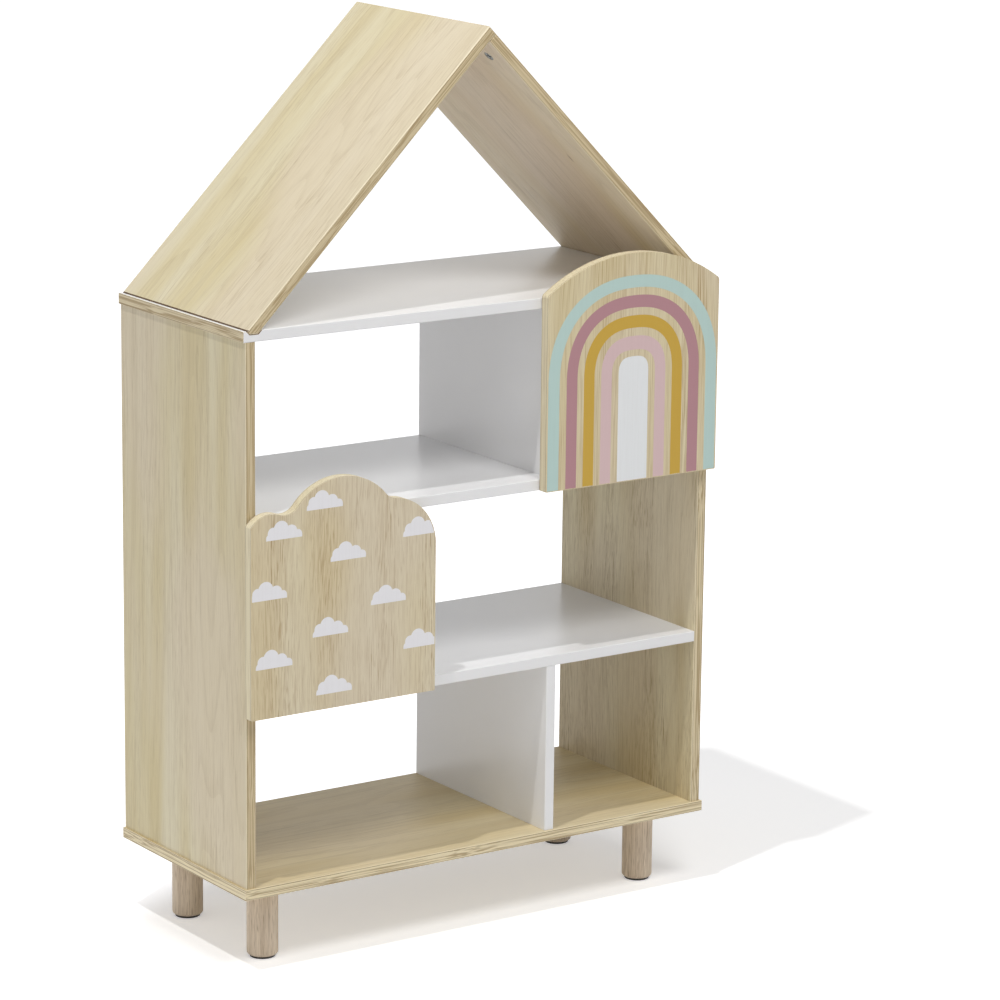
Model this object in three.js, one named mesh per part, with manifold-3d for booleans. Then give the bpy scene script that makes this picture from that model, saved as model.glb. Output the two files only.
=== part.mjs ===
// A children's bookcase in the shape of a house: four rows of open cells on round legs, a pitched
// roof, a cloud-shaped door and an arched door on concealed hinges.
// Millimetres, +X to the right, +Y to the back, +Z up, origin on the floor in the middle.
import * as THREE from 'three';
import { mergeVertices } from 'three/addons/utils/BufferGeometryUtils.js';
import Module from 'manifold-3d';

const wasm = await Module();
wasm.setup();

// Boards and rows
const board = 15;
const carcassWidth = 750;
const carcassDepth = 326;
const rowHeight = 236;
const narrowCell = 238;
const arris = 1;
const arrisSteps = 1;
const baseOverSides = 3;
const baseOverFront = 3;
const baseBehind = 1;

// Clearances
const seatGap = 0.3;
const overrun = 5;

// Doors
const doorThickness = 15;
const doorGap = 1.5;
const doorOverSide = 2;
const doorPastDivider = 18;
const doorWidth = doorOverSide + 2 * board + narrowCell + doorPastDivider;
const doorArris = 1.2;

// Legs
const legRadius = 21.5;
const legLength = 103;
const legEdgeRadius = 4.5;
const legInset = 65;
const legSides = 20;
const legEdgeSteps = 3;
const glideRadius = 17.5;
const glideThickness = 3;
const glideEdge = 0.8;
const glideStudRadius = 3;
const glideStudLength = 10;

// Heights and depths that follow
const underside = glideThickness + legLength;
const floorTop = underside + board;
const lowerShelfBottom = floorTop + rowHeight;
const upperShelfBottom = lowerShelfBottom + board + rowHeight;
const topShelfBottom = upperShelfBottom + board + rowHeight;
const roofFoot = topShelfBottom + board;
const sideInner = carcassWidth / 2 - board;
const baseWidth = carcassWidth + 2 * baseOverSides;
const baseDepth = carcassDepth + baseOverFront + baseBehind;
const wholeDepth = doorThickness + doorGap + carcassDepth + baseBehind;
const carcassFront = doorThickness + doorGap - wholeDepth / 2;
const carcassMiddle = carcassFront + carcassDepth / 2;
const baseMiddle = carcassFront - baseOverFront + baseDepth / 2;
const dividerPlace = sideInner - narrowCell - board / 2;
const doorBack = carcassFront - doorGap;

// Solids and geometries
const eighthTurn = Math.PI / 4;
const quarterTurn = Math.PI / 2;
const halfTurn = Math.PI;

function solidOf(geometry) {
  const bare = new THREE.BufferGeometry();
  bare.setAttribute('position', geometry.getAttribute('position').clone());
  bare.setIndex(geometry.getIndex() ? geometry.getIndex().clone() : null);
  const merged = mergeVertices(bare);
  const corners = merged.getIndex().array;
  const triangles = [];
  for (let i = 0; i < corners.length; i += 3) {
    const [a, b, c] = corners.slice(i, i + 3);
    if (a !== b && b !== c && c !== a) triangles.push(a, b, c);
  }
  return new wasm.Manifold(new wasm.Mesh({
    numProp: 3,
    vertProperties: Float32Array.from(merged.getAttribute('position').array),
    triVerts: Uint32Array.from(triangles),
  }));
}

function geometryOf(solid) {
  const mesh = solid.getMesh();
  const geometry = new THREE.BufferGeometry();
  geometry.setAttribute('position', new THREE.BufferAttribute(mesh.vertProperties, 3));
  geometry.setIndex(new THREE.BufferAttribute(mesh.triVerts, 1));
  const flat = geometry.toNonIndexed();
  flat.computeVertexNormals();
  return flat;
}

function carve(geometry, cuts, additions = []) {
  let solid = solidOf(geometry);
  for (const addition of additions) solid = solid.add(solidOf(addition));
  for (const cut of cuts) solid = solid.subtract(solidOf(cut));
  return geometryOf(solid);
}

function at(geometry, x, y, z) {
  return geometry.translate(x, y, z);
}

function rodX(radius, length, sides) {
  return new THREE.CylinderGeometry(radius, radius, length, sides).rotateZ(quarterTurn);
}

function rodY(radius, length, sides) {
  return new THREE.CylinderGeometry(radius, radius, length, sides);
}

function rodZ(radius, length, sides) {
  return new THREE.CylinderGeometry(radius, radius, length, sides).rotateX(quarterTurn);
}

// A profile of [radius, height] pairs, from the axis below round to the axis above, turned about Z
function turned(profile, sides) {
  const points = profile.map(([radius, height]) => new THREE.Vector2(radius, height));
  return new THREE.LatheGeometry(points, sides).rotateX(quarterTurn);
}

function outline(points) {
  return new THREE.Shape(points.map(([x, y]) => new THREE.Vector2(x, y)));
}

// A board's cross-section, centred, with its four arrises eased
function boardSection(depth, thickness) {
  const shape = new THREE.Shape();
  const x = depth / 2;
  const y = thickness / 2;
  shape.moveTo(-x, -y + arris);
  shape.absarc(-x + arris, -y + arris, arris, halfTurn, halfTurn + quarterTurn, false);
  shape.absarc(x - arris, -y + arris, arris, -quarterTurn, 0, false);
  shape.absarc(x - arris, y - arris, arris, 0, quarterTurn, false);
  shape.absarc(-x + arris, y - arris, arris, quarterTurn, halfTurn, false);
  return shape;
}

// A lying board: its section runs through depth and thickness, its length along X
function lyingBoard(length, depth) {
  const settings = { depth: length, bevelEnabled: false, curveSegments: arrisSteps };
  const geometry = new THREE.ExtrudeGeometry(boardSection(depth, board), settings);
  const turn = new THREE.Matrix4().makeBasis(
    new THREE.Vector3(0, 1, 0), new THREE.Vector3(0, 0, 1), new THREE.Vector3(1, 0, 0));
  return geometry.applyMatrix4(turn).translate(-length / 2, 0, board / 2);
}

// A standing board: its section runs through depth and thickness, its length up Z
function standingBoard(length, depth) {
  const settings = { depth: length, bevelEnabled: false, curveSegments: arrisSteps };
  return new THREE.ExtrudeGeometry(boardSection(depth, board), settings).rotateZ(quarterTurn);
}

// An outline in X and Z, made solid from Y = 0 towards the front, with eased arrises
function frontedPanel(shape, thickness, ease, curveSegments) {
  const settings = {
    depth: thickness - 2 * ease, bevelEnabled: true, bevelThickness: ease, bevelSize: ease,
    bevelOffset: -ease, bevelSegments: arrisSteps, curveSegments,
  };
  return new THREE.ExtrudeGeometry(shape, settings).translate(0, 0, ease).rotateX(quarterTurn);
}

// Materials
function finish(color, roughness, metalness = 0) {
  return new THREE.MeshStandardMaterial({ color, roughness, metalness });
}

const woodLaminate = () => finish('#cdbf9c', 0.6);
const whiteLaminate = () => finish('#e9e9e8', 0.5);
const solidWood = () => finish('#b79f7c', 0.65);
const blackPlastic = () => finish('#1d1c1b', 0.6);
const zincAlloy = () => finish('#b4b5b1', 0.4, 0.9);
const platedSteel = () => finish('#c3c5c6', 0.32, 0.95);
const clearRubber = () => finish('#d9dcdb', 0.5);

const group = new THREE.Group();

function place(name, geometry, material, position = [0, 0, 0], parent = group) {
  const mesh = new THREE.Mesh(geometry, material);
  mesh.name = name;
  mesh.position.set(...position);
  parent.add(mesh);
  return mesh;
}

// Base screws: from beneath, through the base, into the side panels' lower ends
const baseScrewRadius = 2.6;
const baseScrewHeadRadius = 5;
const baseScrewHead = 3.5;
const baseScrewLength = 50;
const baseScrewTip = 6;
const baseScrewKey = 2;
const baseScrewKeyDepth = 2.2;
const baseScrewFromEdge = 45;
const fastenerSides = 10;
const keySides = 6;

const baseScrewPlaces = [];
for (const side of [-1, 1]) {
  for (const end of [-1, 1]) {
    baseScrewPlaces.push([
      side * (carcassWidth / 2 - board / 2),
      carcassMiddle + end * (carcassDepth / 2 - baseScrewFromEdge),
      side, end,
    ]);
  }
}

function sideName(side) {
  return side < 0 ? 'left' : 'right';
}

function endName(end) {
  return end < 0 ? 'front' : 'rear';
}

function baseScrewBlank(extra, length) {
  return turned([
    [0, 0],
    [baseScrewHeadRadius + extra, 0],
    [baseScrewRadius + extra, baseScrewHead],
    [baseScrewRadius + extra, length - baseScrewTip],
    [0, length],
  ], fastenerSides);
}

function baseScrews() {
  const key = rodZ(baseScrewKey, 2 * baseScrewKeyDepth, keySides);
  const geometry = carve(baseScrewBlank(0, baseScrewLength), [key]);
  for (const [x, y, side, end] of baseScrewPlaces) {
    const name = `base_screw_${endName(end)}_${sideName(side)}`;
    place(name, geometry.clone(), platedSteel(), [x, y, underside + seatGap]);
  }
}

// Legs with their hanger bolts and glides
const hangerRadius = 4;
const hangerTop = 12;
const hangerLength = 46;
const hangerCollarRadius = 5.5;
const hangerCollar = 2;
const hangerTip = 5;

const legPlaces = [];
for (const side of [-1, 1]) {
  for (const end of [-1, 1]) {
    legPlaces.push([
      side * (baseWidth / 2 - legInset), baseMiddle + end * (baseDepth / 2 - legInset), side, end,
    ]);
  }
}

function legGeometry() {
  const bottom = glideThickness;
  const socket = hangerRadius + seatGap;
  const socketFloor = underside - hangerLength + hangerTop - seatGap;
  const studSocket = glideStudRadius + seatGap;
  const profile = [
    [0, bottom + glideStudLength + seatGap],
    [studSocket, bottom + glideStudLength + seatGap],
    [studSocket, bottom],
  ];
  for (let step = 0; step <= legEdgeSteps; step += 1) {
    const angle = quarterTurn * step / legEdgeSteps;
    profile.push([
      legRadius - legEdgeRadius + legEdgeRadius * Math.sin(angle),
      bottom + legEdgeRadius - legEdgeRadius * Math.cos(angle),
    ]);
  }
  const collarSeat = underside - hangerCollar - seatGap;
  profile.push(
    [legRadius, underside],
    [hangerCollarRadius + seatGap, underside],
    [hangerCollarRadius + seatGap, collarSeat],
    [socket, collarSeat],
    [socket, socketFloor],
    [0, socketFloor],
  );
  return turned(profile, legSides);
}

function hangerGeometry() {
  const bottom = underside - hangerLength + hangerTop;
  return turned([
    [0, bottom],
    [hangerRadius, bottom + hangerTip],
    [hangerRadius, underside - hangerCollar],
    [hangerCollarRadius, underside - hangerCollar],
    [hangerCollarRadius, underside],
    [hangerRadius, underside],
    [hangerRadius, underside + hangerTop],
    [0, underside + hangerTop],
  ], fastenerSides);
}

function glideGeometry() {
  return turned([
    [0, 0],
    [glideRadius - glideEdge, 0],
    [glideRadius, glideEdge],
    [glideRadius, glideThickness],
    [glideStudRadius, glideThickness],
    [glideStudRadius, glideThickness + glideStudLength],
    [0, glideThickness + glideStudLength],
  ], legSides);
}

function legs() {
  for (const [x, y, side, end] of legPlaces) {
    const corner = `${endName(end)}_${sideName(side)}`;
    place(`leg_${corner}`, legGeometry(), solidWood(), [x, y, 0]);
    place(`glide_${corner}`, glideGeometry(), blackPlastic(), [x, y, 0]);
    place(`hanger_bolt_${corner}`, hangerGeometry(), platedSteel(), [x, y, 0]);
  }
}

// Cam locks: a disc turned in a bore, with a cross slot and a mouth for the bolt's head
const camRadius = 7.5;
const camThickness = 12;
const camBoreDepth = 12.5;
const camSlotWidth = 1.8;
const camSlotDepth = 2;
const camMouthWidth = 7.6;
const camFromEnd = 34;
const camFromEdge = 37;
const camSides = 16;
const ridgeBoltRadius = 3;
const ridgeBoltHead = 3.4;
const ridgeBoltHeadLength = 3;
const ridgeBoltStub = 10;
const ridgeBoltCollar = 3.6;
const ridgeBoltCollarLength = 1.5;

const camRows = [-1, 1].map((end) => [end, end * (carcassDepth / 2 - camFromEdge)]);

// The disc's outer face lies at Z = 0, its body below, and its mouth opens along +X
function camGeometry(outward) {
  const body = at(rodZ(camRadius, camThickness, camSides), 0, 0, -camThickness / 2);
  const slotLength = camRadius * Math.SQRT2;
  const slots = [[slotLength, camSlotWidth], [camSlotWidth, slotLength]].map(
    ([x, y]) => new THREE.BoxGeometry(x, y, 2 * camSlotDepth));
  const mouthStart = -ridgeBoltHeadLength / 2 - seatGap;
  const mouthLength = camRadius + overrun - mouthStart;
  const mouth = at(
    new THREE.BoxGeometry(mouthLength, camMouthWidth, camMouthWidth),
    mouthStart + mouthLength / 2, 0, seatGap - board / 2);
  const geometry = carve(body, [...slots, mouth]);
  return outward < 0 ? geometry.rotateX(halfTurn) : geometry;
}

function camBore() {
  return rodZ(camRadius + seatGap, 2 * camBoreDepth, camSides);
}

// The base and the sides
function baseGeometry() {
  const cuts = [];
  for (const [x, y] of baseScrewPlaces) {
    cuts.push(at(baseScrewBlank(seatGap, baseScrewLength), x, y - baseMiddle, 0));
  }
  const insertDepth = hangerTop + seatGap;
  for (const [x, y] of legPlaces) {
    cuts.push(at(rodZ(hangerRadius + seatGap, 2 * insertDepth, fastenerSides), x, y - baseMiddle, 0));
  }
  return carve(lyingBoard(baseWidth, baseDepth), cuts);
}

function sideGeometry(side) {
  const height = topShelfBottom - floorTop;
  const cuts = [];
  for (const [, y, screwSide] of baseScrewPlaces) {
    if (screwSide !== side) continue;
    const deep = baseScrewLength - board + 2 * seatGap;
    cuts.push(at(rodZ(baseScrewRadius + seatGap, 2 * deep, fastenerSides), 0, y - carcassMiddle, 0));
  }
  return carve(standingBoard(height, carcassDepth), cuts);
}

function boxParts() {
  place('base_panel', baseGeometry(), woodLaminate(), [0, baseMiddle, underside]);
  for (const side of [-1, 1]) {
    const x = side * (carcassWidth / 2 - board / 2);
    place(`side_panel_${sideName(side)}`, sideGeometry(side), woodLaminate(), [x, carcassMiddle, floorTop]);
  }
}

// Shelves between the sides, with a cam lock near each corner of their undersides
function shelfGeometry() {
  const length = 2 * sideInner;
  const cuts = [];
  for (const side of [-1, 1]) {
    for (const [, y] of camRows) {
      cuts.push(at(camBore(), side * (length / 2 - camFromEnd), y, 0));
    }
  }
  return carve(lyingBoard(length, carcassDepth), cuts);
}

function shelf(label, bottom) {
  place(label, shelfGeometry(), whiteLaminate(), [0, carcassMiddle, bottom]);
  for (const side of [-1, 1]) {
    for (const [end, y] of camRows) {
      const cam = camGeometry(-1);
      if (side < 0) cam.rotateZ(halfTurn);
      const seat = [side * (sideInner - camFromEnd), carcassMiddle + y, bottom + seatGap];
      place(`${label}_cam_${endName(end)}_${sideName(side)}`, cam, zincAlloy(), seat);
    }
  }
}

function dividers() {
  const uprights = [
    ['lower_divider', dividerPlace, floorTop],
    ['middle_divider', -dividerPlace, lowerShelfBottom + board],
    ['upper_divider', dividerPlace, upperShelfBottom + board],
  ];
  for (const [name, x, bottom] of uprights) {
    place(name, standingBoard(rowHeight, carcassDepth), whiteLaminate(), [x, carcassMiddle, bottom]);
  }
}

// The roof: boards at 45 degrees whose feet stand in grooves of the top shelf
const roofFromEnd = 6.5;
const roofHalfSpan = baseWidth / 2 - roofFromEnd;
const grooveDepth = 5.2;
const footPast = 1.1;
const roofDowelRadius = 3;
const roofDowelDepth = 7.5;
const roofDowelFromOuter = 10;
const roofDowelFromEdge = 60;

const slope = Math.SQRT2;
const ridgeLength = roofHalfSpan * slope;
const buttLength = ridgeLength - board - seatGap;

const dowelRows = [-1, 1].map((end) => [end, end * (carcassDepth / 2 - roofDowelFromEdge)]);

// Seen from the front, along the board from its foot, with the outer face on top
function roofProfile(length) {
  const footDepth = grooveDepth - seatGap;
  const squareCut = footDepth * slope - footPast;
  return outline([
    [-footPast, 0],
    [-footPast, -squareCut],
    [board - footDepth * slope, -board],
    [length, -board],
    [length, 0],
  ]);
}

function roofBlank(length) {
  return frontedPanel(roofProfile(length), carcassDepth, arris, 1).translate(0, carcassDepth / 2, 0);
}

// Upright dowels stand askew in the board's own frame
function footBores() {
  const reach = roofDowelDepth + seatGap;
  return dowelRows.map(([, y]) => {
    const bore = rodZ(roofDowelRadius + seatGap, 2 * reach, fastenerSides);
    return at(bore, roofDowelFromOuter, y, -grooveDepth).rotateY(eighthTurn);
  });
}

function roofLeft(half) {
  const cuts = footBores();
  const boltRoom = ridgeBoltStub + seatGap;
  for (const [, y] of camRows) {
    const bore = rodZ(ridgeBoltRadius + seatGap, 2 * boltRoom, fastenerSides);
    cuts.push(at(bore, ridgeLength - board / 2, y, -board));
  }
  const panel = place('roof_panel_left', carve(roofBlank(ridgeLength), cuts), woodLaminate(),
    [-roofHalfSpan, 0, 0], half);
  panel.rotation.y = -eighthTurn;
}

// Along X from the cam's mouth to the stub in the other board
function ridgeBoltGeometry() {
  const collarSeat = camFromEnd + seatGap;
  const headStart = -ridgeBoltHeadLength / 2;
  return turned([
    [0, headStart],
    [ridgeBoltHead, headStart],
    [ridgeBoltHead, headStart + ridgeBoltHeadLength],
    [ridgeBoltRadius, headStart + ridgeBoltHeadLength],
    [ridgeBoltRadius, collarSeat - ridgeBoltCollarLength],
    [ridgeBoltCollar, collarSeat - ridgeBoltCollarLength],
    [ridgeBoltCollar, collarSeat],
    [ridgeBoltRadius, collarSeat],
    [ridgeBoltRadius, collarSeat + ridgeBoltStub],
    [0, collarSeat + ridgeBoltStub],
  ], fastenerSides).rotateY(quarterTurn);
}

function roofRight(half) {
  const cuts = footBores();
  const camPlace = buttLength - camFromEnd;
  for (const [, y] of camRows) {
    cuts.push(at(camBore(), camPlace, y, -board));
    const bore = rodX(ridgeBoltCollar + seatGap, camFromEnd + overrun, fastenerSides);
    cuts.push(at(bore, camPlace + (camFromEnd + overrun) / 2, y, -board / 2));
  }
  const frame = new THREE.Group();
  frame.position.set(-roofHalfSpan, 0, 0);
  frame.rotation.y = -eighthTurn;
  half.add(frame);
  place('roof_panel_right', carve(roofBlank(buttLength), cuts), woodLaminate(), [0, 0, 0], frame);
  for (const [end, y] of camRows) {
    const label = endName(-end);
    place(`ridge_cam_${label}`, camGeometry(-1), zincAlloy(), [camPlace, y, -board + seatGap], frame);
    place(`ridge_bolt_${label}`, ridgeBoltGeometry(), platedSteel(), [camPlace, y, -board / 2], frame);
  }
}

function roof() {
  for (const [turn, fill] of [[0, roofLeft], [halfTurn, roofRight]]) {
    const half = new THREE.Group();
    half.position.set(0, carcassMiddle, roofFoot);
    half.rotation.z = turn;
    group.add(half);
    fill(half);
  }
}

// The top shelf's groove, seen from the front on the left: one flank square to the roof board,
// a flat bottom, and one flank along the roof board's inner face
function grooveCut(side) {
  const lip = roofHalfSpan + (footPast + seatGap) * slope;
  const innerLip = roofHalfSpan - (board + seatGap) * slope;
  const rise = overrun;
  const shape = outline([
    [-lip - rise, rise],
    [-lip + grooveDepth, -grooveDepth],
    [-innerLip - grooveDepth, -grooveDepth],
    [-innerLip + rise, rise],
  ]);
  const length = carcassDepth + 2 * overrun;
  const cut = new THREE.ExtrudeGeometry(shape, { depth: length, bevelEnabled: false });
  cut.rotateX(quarterTurn).translate(0, length / 2, board);
  return side < 0 ? cut : cut.rotateZ(halfTurn);
}

function topShelf() {
  const cuts = [grooveCut(-1), grooveCut(1)];
  const reach = roofDowelDepth + seatGap;
  for (const side of [-1, 1]) {
    for (const [end, y] of dowelRows) {
      const x = side * (roofHalfSpan - roofDowelFromOuter);
      const bore = rodZ(roofDowelRadius + seatGap, 2 * reach, fastenerSides);
      cuts.push(at(bore, x, y, board - grooveDepth));
      const dowel = rodZ(roofDowelRadius, 2 * roofDowelDepth, fastenerSides);
      place(`roof_dowel_${endName(end)}_${sideName(side)}`, dowel, solidWood(),
        [x, carcassMiddle + y, roofFoot - grooveDepth]);
    }
  }
  place('top_shelf', carve(lyingBoard(baseWidth, carcassDepth), cuts), whiteLaminate(),
    [0, carcassMiddle, topShelfBottom]);
}

// Concealed hinges, in a frame whose origin is on the side's outer face at the carcass's front,
// with +X into the bookcase and -Y to the front. Link and door turn on the two pins, and the link
// turns back by a share of the door's opening.
const cupRadius = 17.5;
const cupDepth = 11.5;
const cupFromEdge = 3.5;
const cupWall = 1;
const cupSides = 20;
const cupNotch = 2;
const flangeThickness = 0.8;
const flangeRim = 1.2;
const cupScrewSpread = 22.5;
const cupScrewBack = 9.5;
const cupEarRadius = 5.5;
const cupScrewRadius = 3.6;
const cupScrewHead = 0.8;
const cupCentre = cupFromEdge + cupRadius - doorOverSide;

const doorPinInward = 6;
const doorPinForward = 7;
const armPinInward = 22;
const armPinForward = 1;
const pinRadius = 1.45;
const pinClearance = 0.08;
const pinPast = 1.9;
const eyeRadius = 2;
const linkHalfWidth = 5;
const linkThickness = 1.6;
const linkRise = 5.5;
const linkSteps = 6;
const cheekGap = 0.5;
const lugWall = 1.2;

const armEyeRadius = 2.7;
const armWall = 1.2;
const armHeight = 10.5;
const armEnd = 58;
const armNeck = 7;
const armRoot = 20;
const plateThickness = 2;
const plateLength = 32;
const plateHalfWidth = 9.5;
const plateEarLength = 14;
const plateEarReach = 23;
const plateScrewLine = 37;
const plateScrewSpread = 16;
const hingeScrewRadius = 3.4;
const hingeScrewHead = 1.4;
const adjusterSpread = 9;
const hingeInset = 50;

// A screw's flat head, standing half in what it holds down
function screwHead(radius, height) {
  return rodZ(radius, 2 * height, fastenerSides);
}

function cupFlange() {
  const rim = cupRadius + flangeRim;
  const ears = [-1, 1].map((end) => at(
    rodZ(cupEarRadius, flangeThickness, fastenerSides), cupScrewBack, end * cupScrewSpread, 0));
  const web = new THREE.BoxGeometry(2 * cupEarRadius, 2 * cupScrewSpread, flangeThickness);
  at(web, cupScrewBack, 0, 0);
  const disc = carve(rodZ(rim, flangeThickness, cupSides), [], [...ears, web]);
  const heads = [-1, 1].map((end) => at(
    screwHead(cupScrewRadius, cupScrewHead), cupScrewBack, end * cupScrewSpread, flangeThickness / 2));
  const edgeSide = rim + cupRadius - seatGap;
  const trim = at(new THREE.BoxGeometry(rim, 2 * rim, 2 * overrun), -edgeSide + rim / 2, 0, 0);
  return carve(disc, [trim], heads).translate(0, 0, flangeThickness / 2);
}

// The cup's frame: its centre on the door's back face, its depth down Z
function cupGeometry() {
  const outer = cupRadius - seatGap;
  const inner = outer - cupWall;
  const bottom = seatGap - cupDepth;
  const body = turned([
    [0, bottom],
    [outer, bottom],
    [outer, flangeThickness / 2],
    [0, flangeThickness / 2],
  ], cupSides);
  const hollowHeight = cupDepth + overrun;
  const hollow = at(rodZ(inner, hollowHeight, cupSides), 0, 0, bottom + cupWall + hollowHeight / 2);
  const pinX = doorPinInward - cupCentre;
  const pinZ = doorGap - doorPinForward;
  const lugInner = linkHalfWidth + cheekGap;
  const lugs = [-1, 1].map((end) => {
    const lugHeight = pinZ + eyeRadius + lugWall - bottom;
    const box = new THREE.BoxGeometry(2 * (eyeRadius + lugWall), outer - lugInner, lugHeight);
    at(box, pinX, end * (outer + lugInner) / 2, bottom + lugHeight / 2);
    return solidOf(box).intersect(solidOf(body));
  });
  const pinBore = rodY(pinRadius + pinClearance, 2 * (linkHalfWidth + pinPast + seatGap), fastenerSides);
  at(pinBore, pinX, 0, pinZ);
  const notchReach = cupRadius / 2;
  const notch = new THREE.BoxGeometry(notchReach, 2 * lugInner, cupNotch + overrun);
  at(notch, -outer - seatGap + notchReach / 2, 0, (overrun - cupNotch) / 2);
  let solid = solidOf(body).add(solidOf(cupFlange())).subtract(solidOf(hollow));
  for (const lug of lugs) solid = solid.add(lug);
  solid = solid.subtract(solidOf(pinBore)).subtract(solidOf(notch));
  return geometryOf(solid).rotateX(-quarterTurn).translate(cupCentre, -doorGap, 0);
}

// A curved plate from the door's pin to the arm's, with an eye and a pin at each end
function linkGeometry() {
  const from = new THREE.Vector2(doorPinInward, -doorPinForward);
  const to = new THREE.Vector2(armPinInward, -armPinForward);
  const span = from.distanceTo(to);
  const radius = (span * span / 4 + linkRise * linkRise) / (2 * linkRise);
  const along = to.clone().sub(from).normalize();
  const bulge = new THREE.Vector2(along.y, -along.x);
  const centre = from.clone().add(to).multiplyScalar(1 / 2).addScaledVector(bulge, linkRise - radius);
  const start = from.clone().sub(centre).angle();
  const end = to.clone().sub(centre).angle();
  const band = new THREE.Shape();
  band.absarc(centre.x, centre.y, radius + linkThickness / 2, start, end, false);
  band.absarc(centre.x, centre.y, radius - linkThickness / 2, end, start, true);
  const settings = { depth: 2 * linkHalfWidth, bevelEnabled: false, curveSegments: linkSteps };
  const plate = new THREE.ExtrudeGeometry(band, settings).translate(0, 0, -linkHalfWidth);
  const rounds = [from, to].flatMap((pin) => [
    at(rodZ(eyeRadius, 2 * linkHalfWidth, fastenerSides), pin.x, pin.y, 0),
    at(rodZ(pinRadius, 2 * (linkHalfWidth + pinPast), fastenerSides), pin.x, pin.y, 0),
  ]);
  return carve(plate, [], rounds);
}

function armChannel() {
  const back = board + armHeight;
  const seat = board + plateThickness / 2;
  const shape = new THREE.Shape();
  shape.absarc(armPinInward, -armPinForward, armEyeRadius, halfTurn, 2 * halfTurn, false);
  shape.lineTo(back, armNeck);
  shape.lineTo(back, armEnd);
  shape.lineTo(seat, armEnd);
  shape.lineTo(seat, armRoot);
  shape.lineTo(armPinInward - armEyeRadius, armNeck);
  const halfWidth = linkHalfWidth + cheekGap + armWall;
  const settings = { depth: 2 * halfWidth, bevelEnabled: false, curveSegments: linkSteps };
  const channel = new THREE.ExtrudeGeometry(shape, settings).translate(0, 0, -halfWidth);
  const inside = 2 * (linkHalfWidth + cheekGap);
  const hollow = new THREE.BoxGeometry(armHeight, armEnd + overrun, inside);
  at(hollow, back - armWall - armHeight / 2, (armEnd + overrun) / 2, 0);
  const mouth = new THREE.BoxGeometry(2 * armHeight, armNeck + 2 * overrun, inside);
  at(mouth, armPinInward, armNeck / 2 - overrun, 0);
  const bore = rodZ(pinRadius + pinClearance, 2 * (halfWidth + overrun), fastenerSides);
  at(bore, armPinInward, -armPinForward, 0);
  return carve(channel, [hollow, mouth, bore]);
}

function armGeometry() {
  const back = board + armHeight;
  const strip = at(
    new THREE.BoxGeometry(plateThickness, plateLength, 2 * plateHalfWidth),
    board + plateThickness / 2, plateScrewLine, 0);
  const ears = at(
    new THREE.BoxGeometry(plateThickness, plateEarLength, 2 * plateEarReach),
    board + plateThickness / 2, plateScrewLine, 0);
  const screws = [-1, 1].map((end) => at(
    screwHead(hingeScrewRadius, hingeScrewHead).rotateY(quarterTurn),
    board + plateThickness, plateScrewLine, end * plateScrewSpread));
  const adjusters = [-1, 1].map((end) => at(
    screwHead(hingeScrewRadius, hingeScrewHead / 2).rotateY(quarterTurn),
    back, plateScrewLine + end * adjusterSpread, 0));
  return carve(strip, [], [ears, armChannel(), ...screws, ...adjusters]);
}

const hingeHeights = (rowFloor) => [
  ['lower', rowFloor + hingeInset],
  ['upper', rowFloor + rowHeight - hingeInset],
];

// Door outlines, from the door's lower left corner seen from the front. The cloud's lobes follow
// the door's width, and the last one meets its right edge.
const cloudLobeShares = [
  { x: 0.1052, y: 0.8281, radius: 0.1281 },
  { x: 0.4889, y: 0.7778, radius: 0.3087 },
  { x: 0.7552, y: 0.7066, radius: 0.2448 },
];
const cloudLobes = cloudLobeShares.map((share) => ({
  x: share.x * doorWidth, y: share.y * doorWidth, radius: share.radius * doorWidth,
}));
const cloudFillet = 25;
const archRadius = 242;
const archRise = 317.8;
const archShoulder = 6;
const cornerCut = 1.5;
const doorSteps = 7;
const bumperRadius = 4.5;
const bumperThickness = 1.2;
const bumperEdge = 0.4;

// Where the round that fills the valley between two lobes has its centre
function valleyCentre(left, right) {
  const toLeft = left.radius + cloudFillet;
  const toRight = right.radius + cloudFillet;
  const apart = Math.hypot(right.x - left.x, right.y - left.y);
  const along = (toLeft * toLeft - toRight * toRight + apart * apart) / (2 * apart);
  const above = Math.sqrt(toLeft * toLeft - along * along);
  const ex = (right.x - left.x) / apart;
  const ey = (right.y - left.y) / apart;
  return { x: left.x + along * ex - above * ey, y: left.y + along * ey + above * ex };
}

function bearing(from, to) {
  return Math.atan2(to.y - from.y, to.x - from.x);
}

function cloudOutline() {
  const [first, , last] = cloudLobes;
  const edgeTop = first.y + Math.sqrt(first.radius ** 2 - first.x ** 2);
  const shape = new THREE.Shape();
  shape.moveTo(cornerCut, 0);
  shape.lineTo(0, cornerCut);
  shape.lineTo(0, edgeTop);
  let turn = bearing(first, { x: 0, y: edgeTop });
  cloudLobes.slice(0, -1).forEach((lobe, index) => {
    const next = cloudLobes[index + 1];
    const valley = valleyCentre(lobe, next);
    shape.absarc(lobe.x, lobe.y, lobe.radius, turn, bearing(lobe, valley), true);
    shape.absarc(valley.x, valley.y, cloudFillet, bearing(valley, lobe), bearing(valley, next), false);
    turn = bearing(next, valley);
  });
  shape.absarc(last.x, last.y, last.radius, turn, 0, true);
  shape.lineTo(doorWidth, cornerCut);
  shape.lineTo(doorWidth - cornerCut, 0);
  return shape;
}

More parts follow.
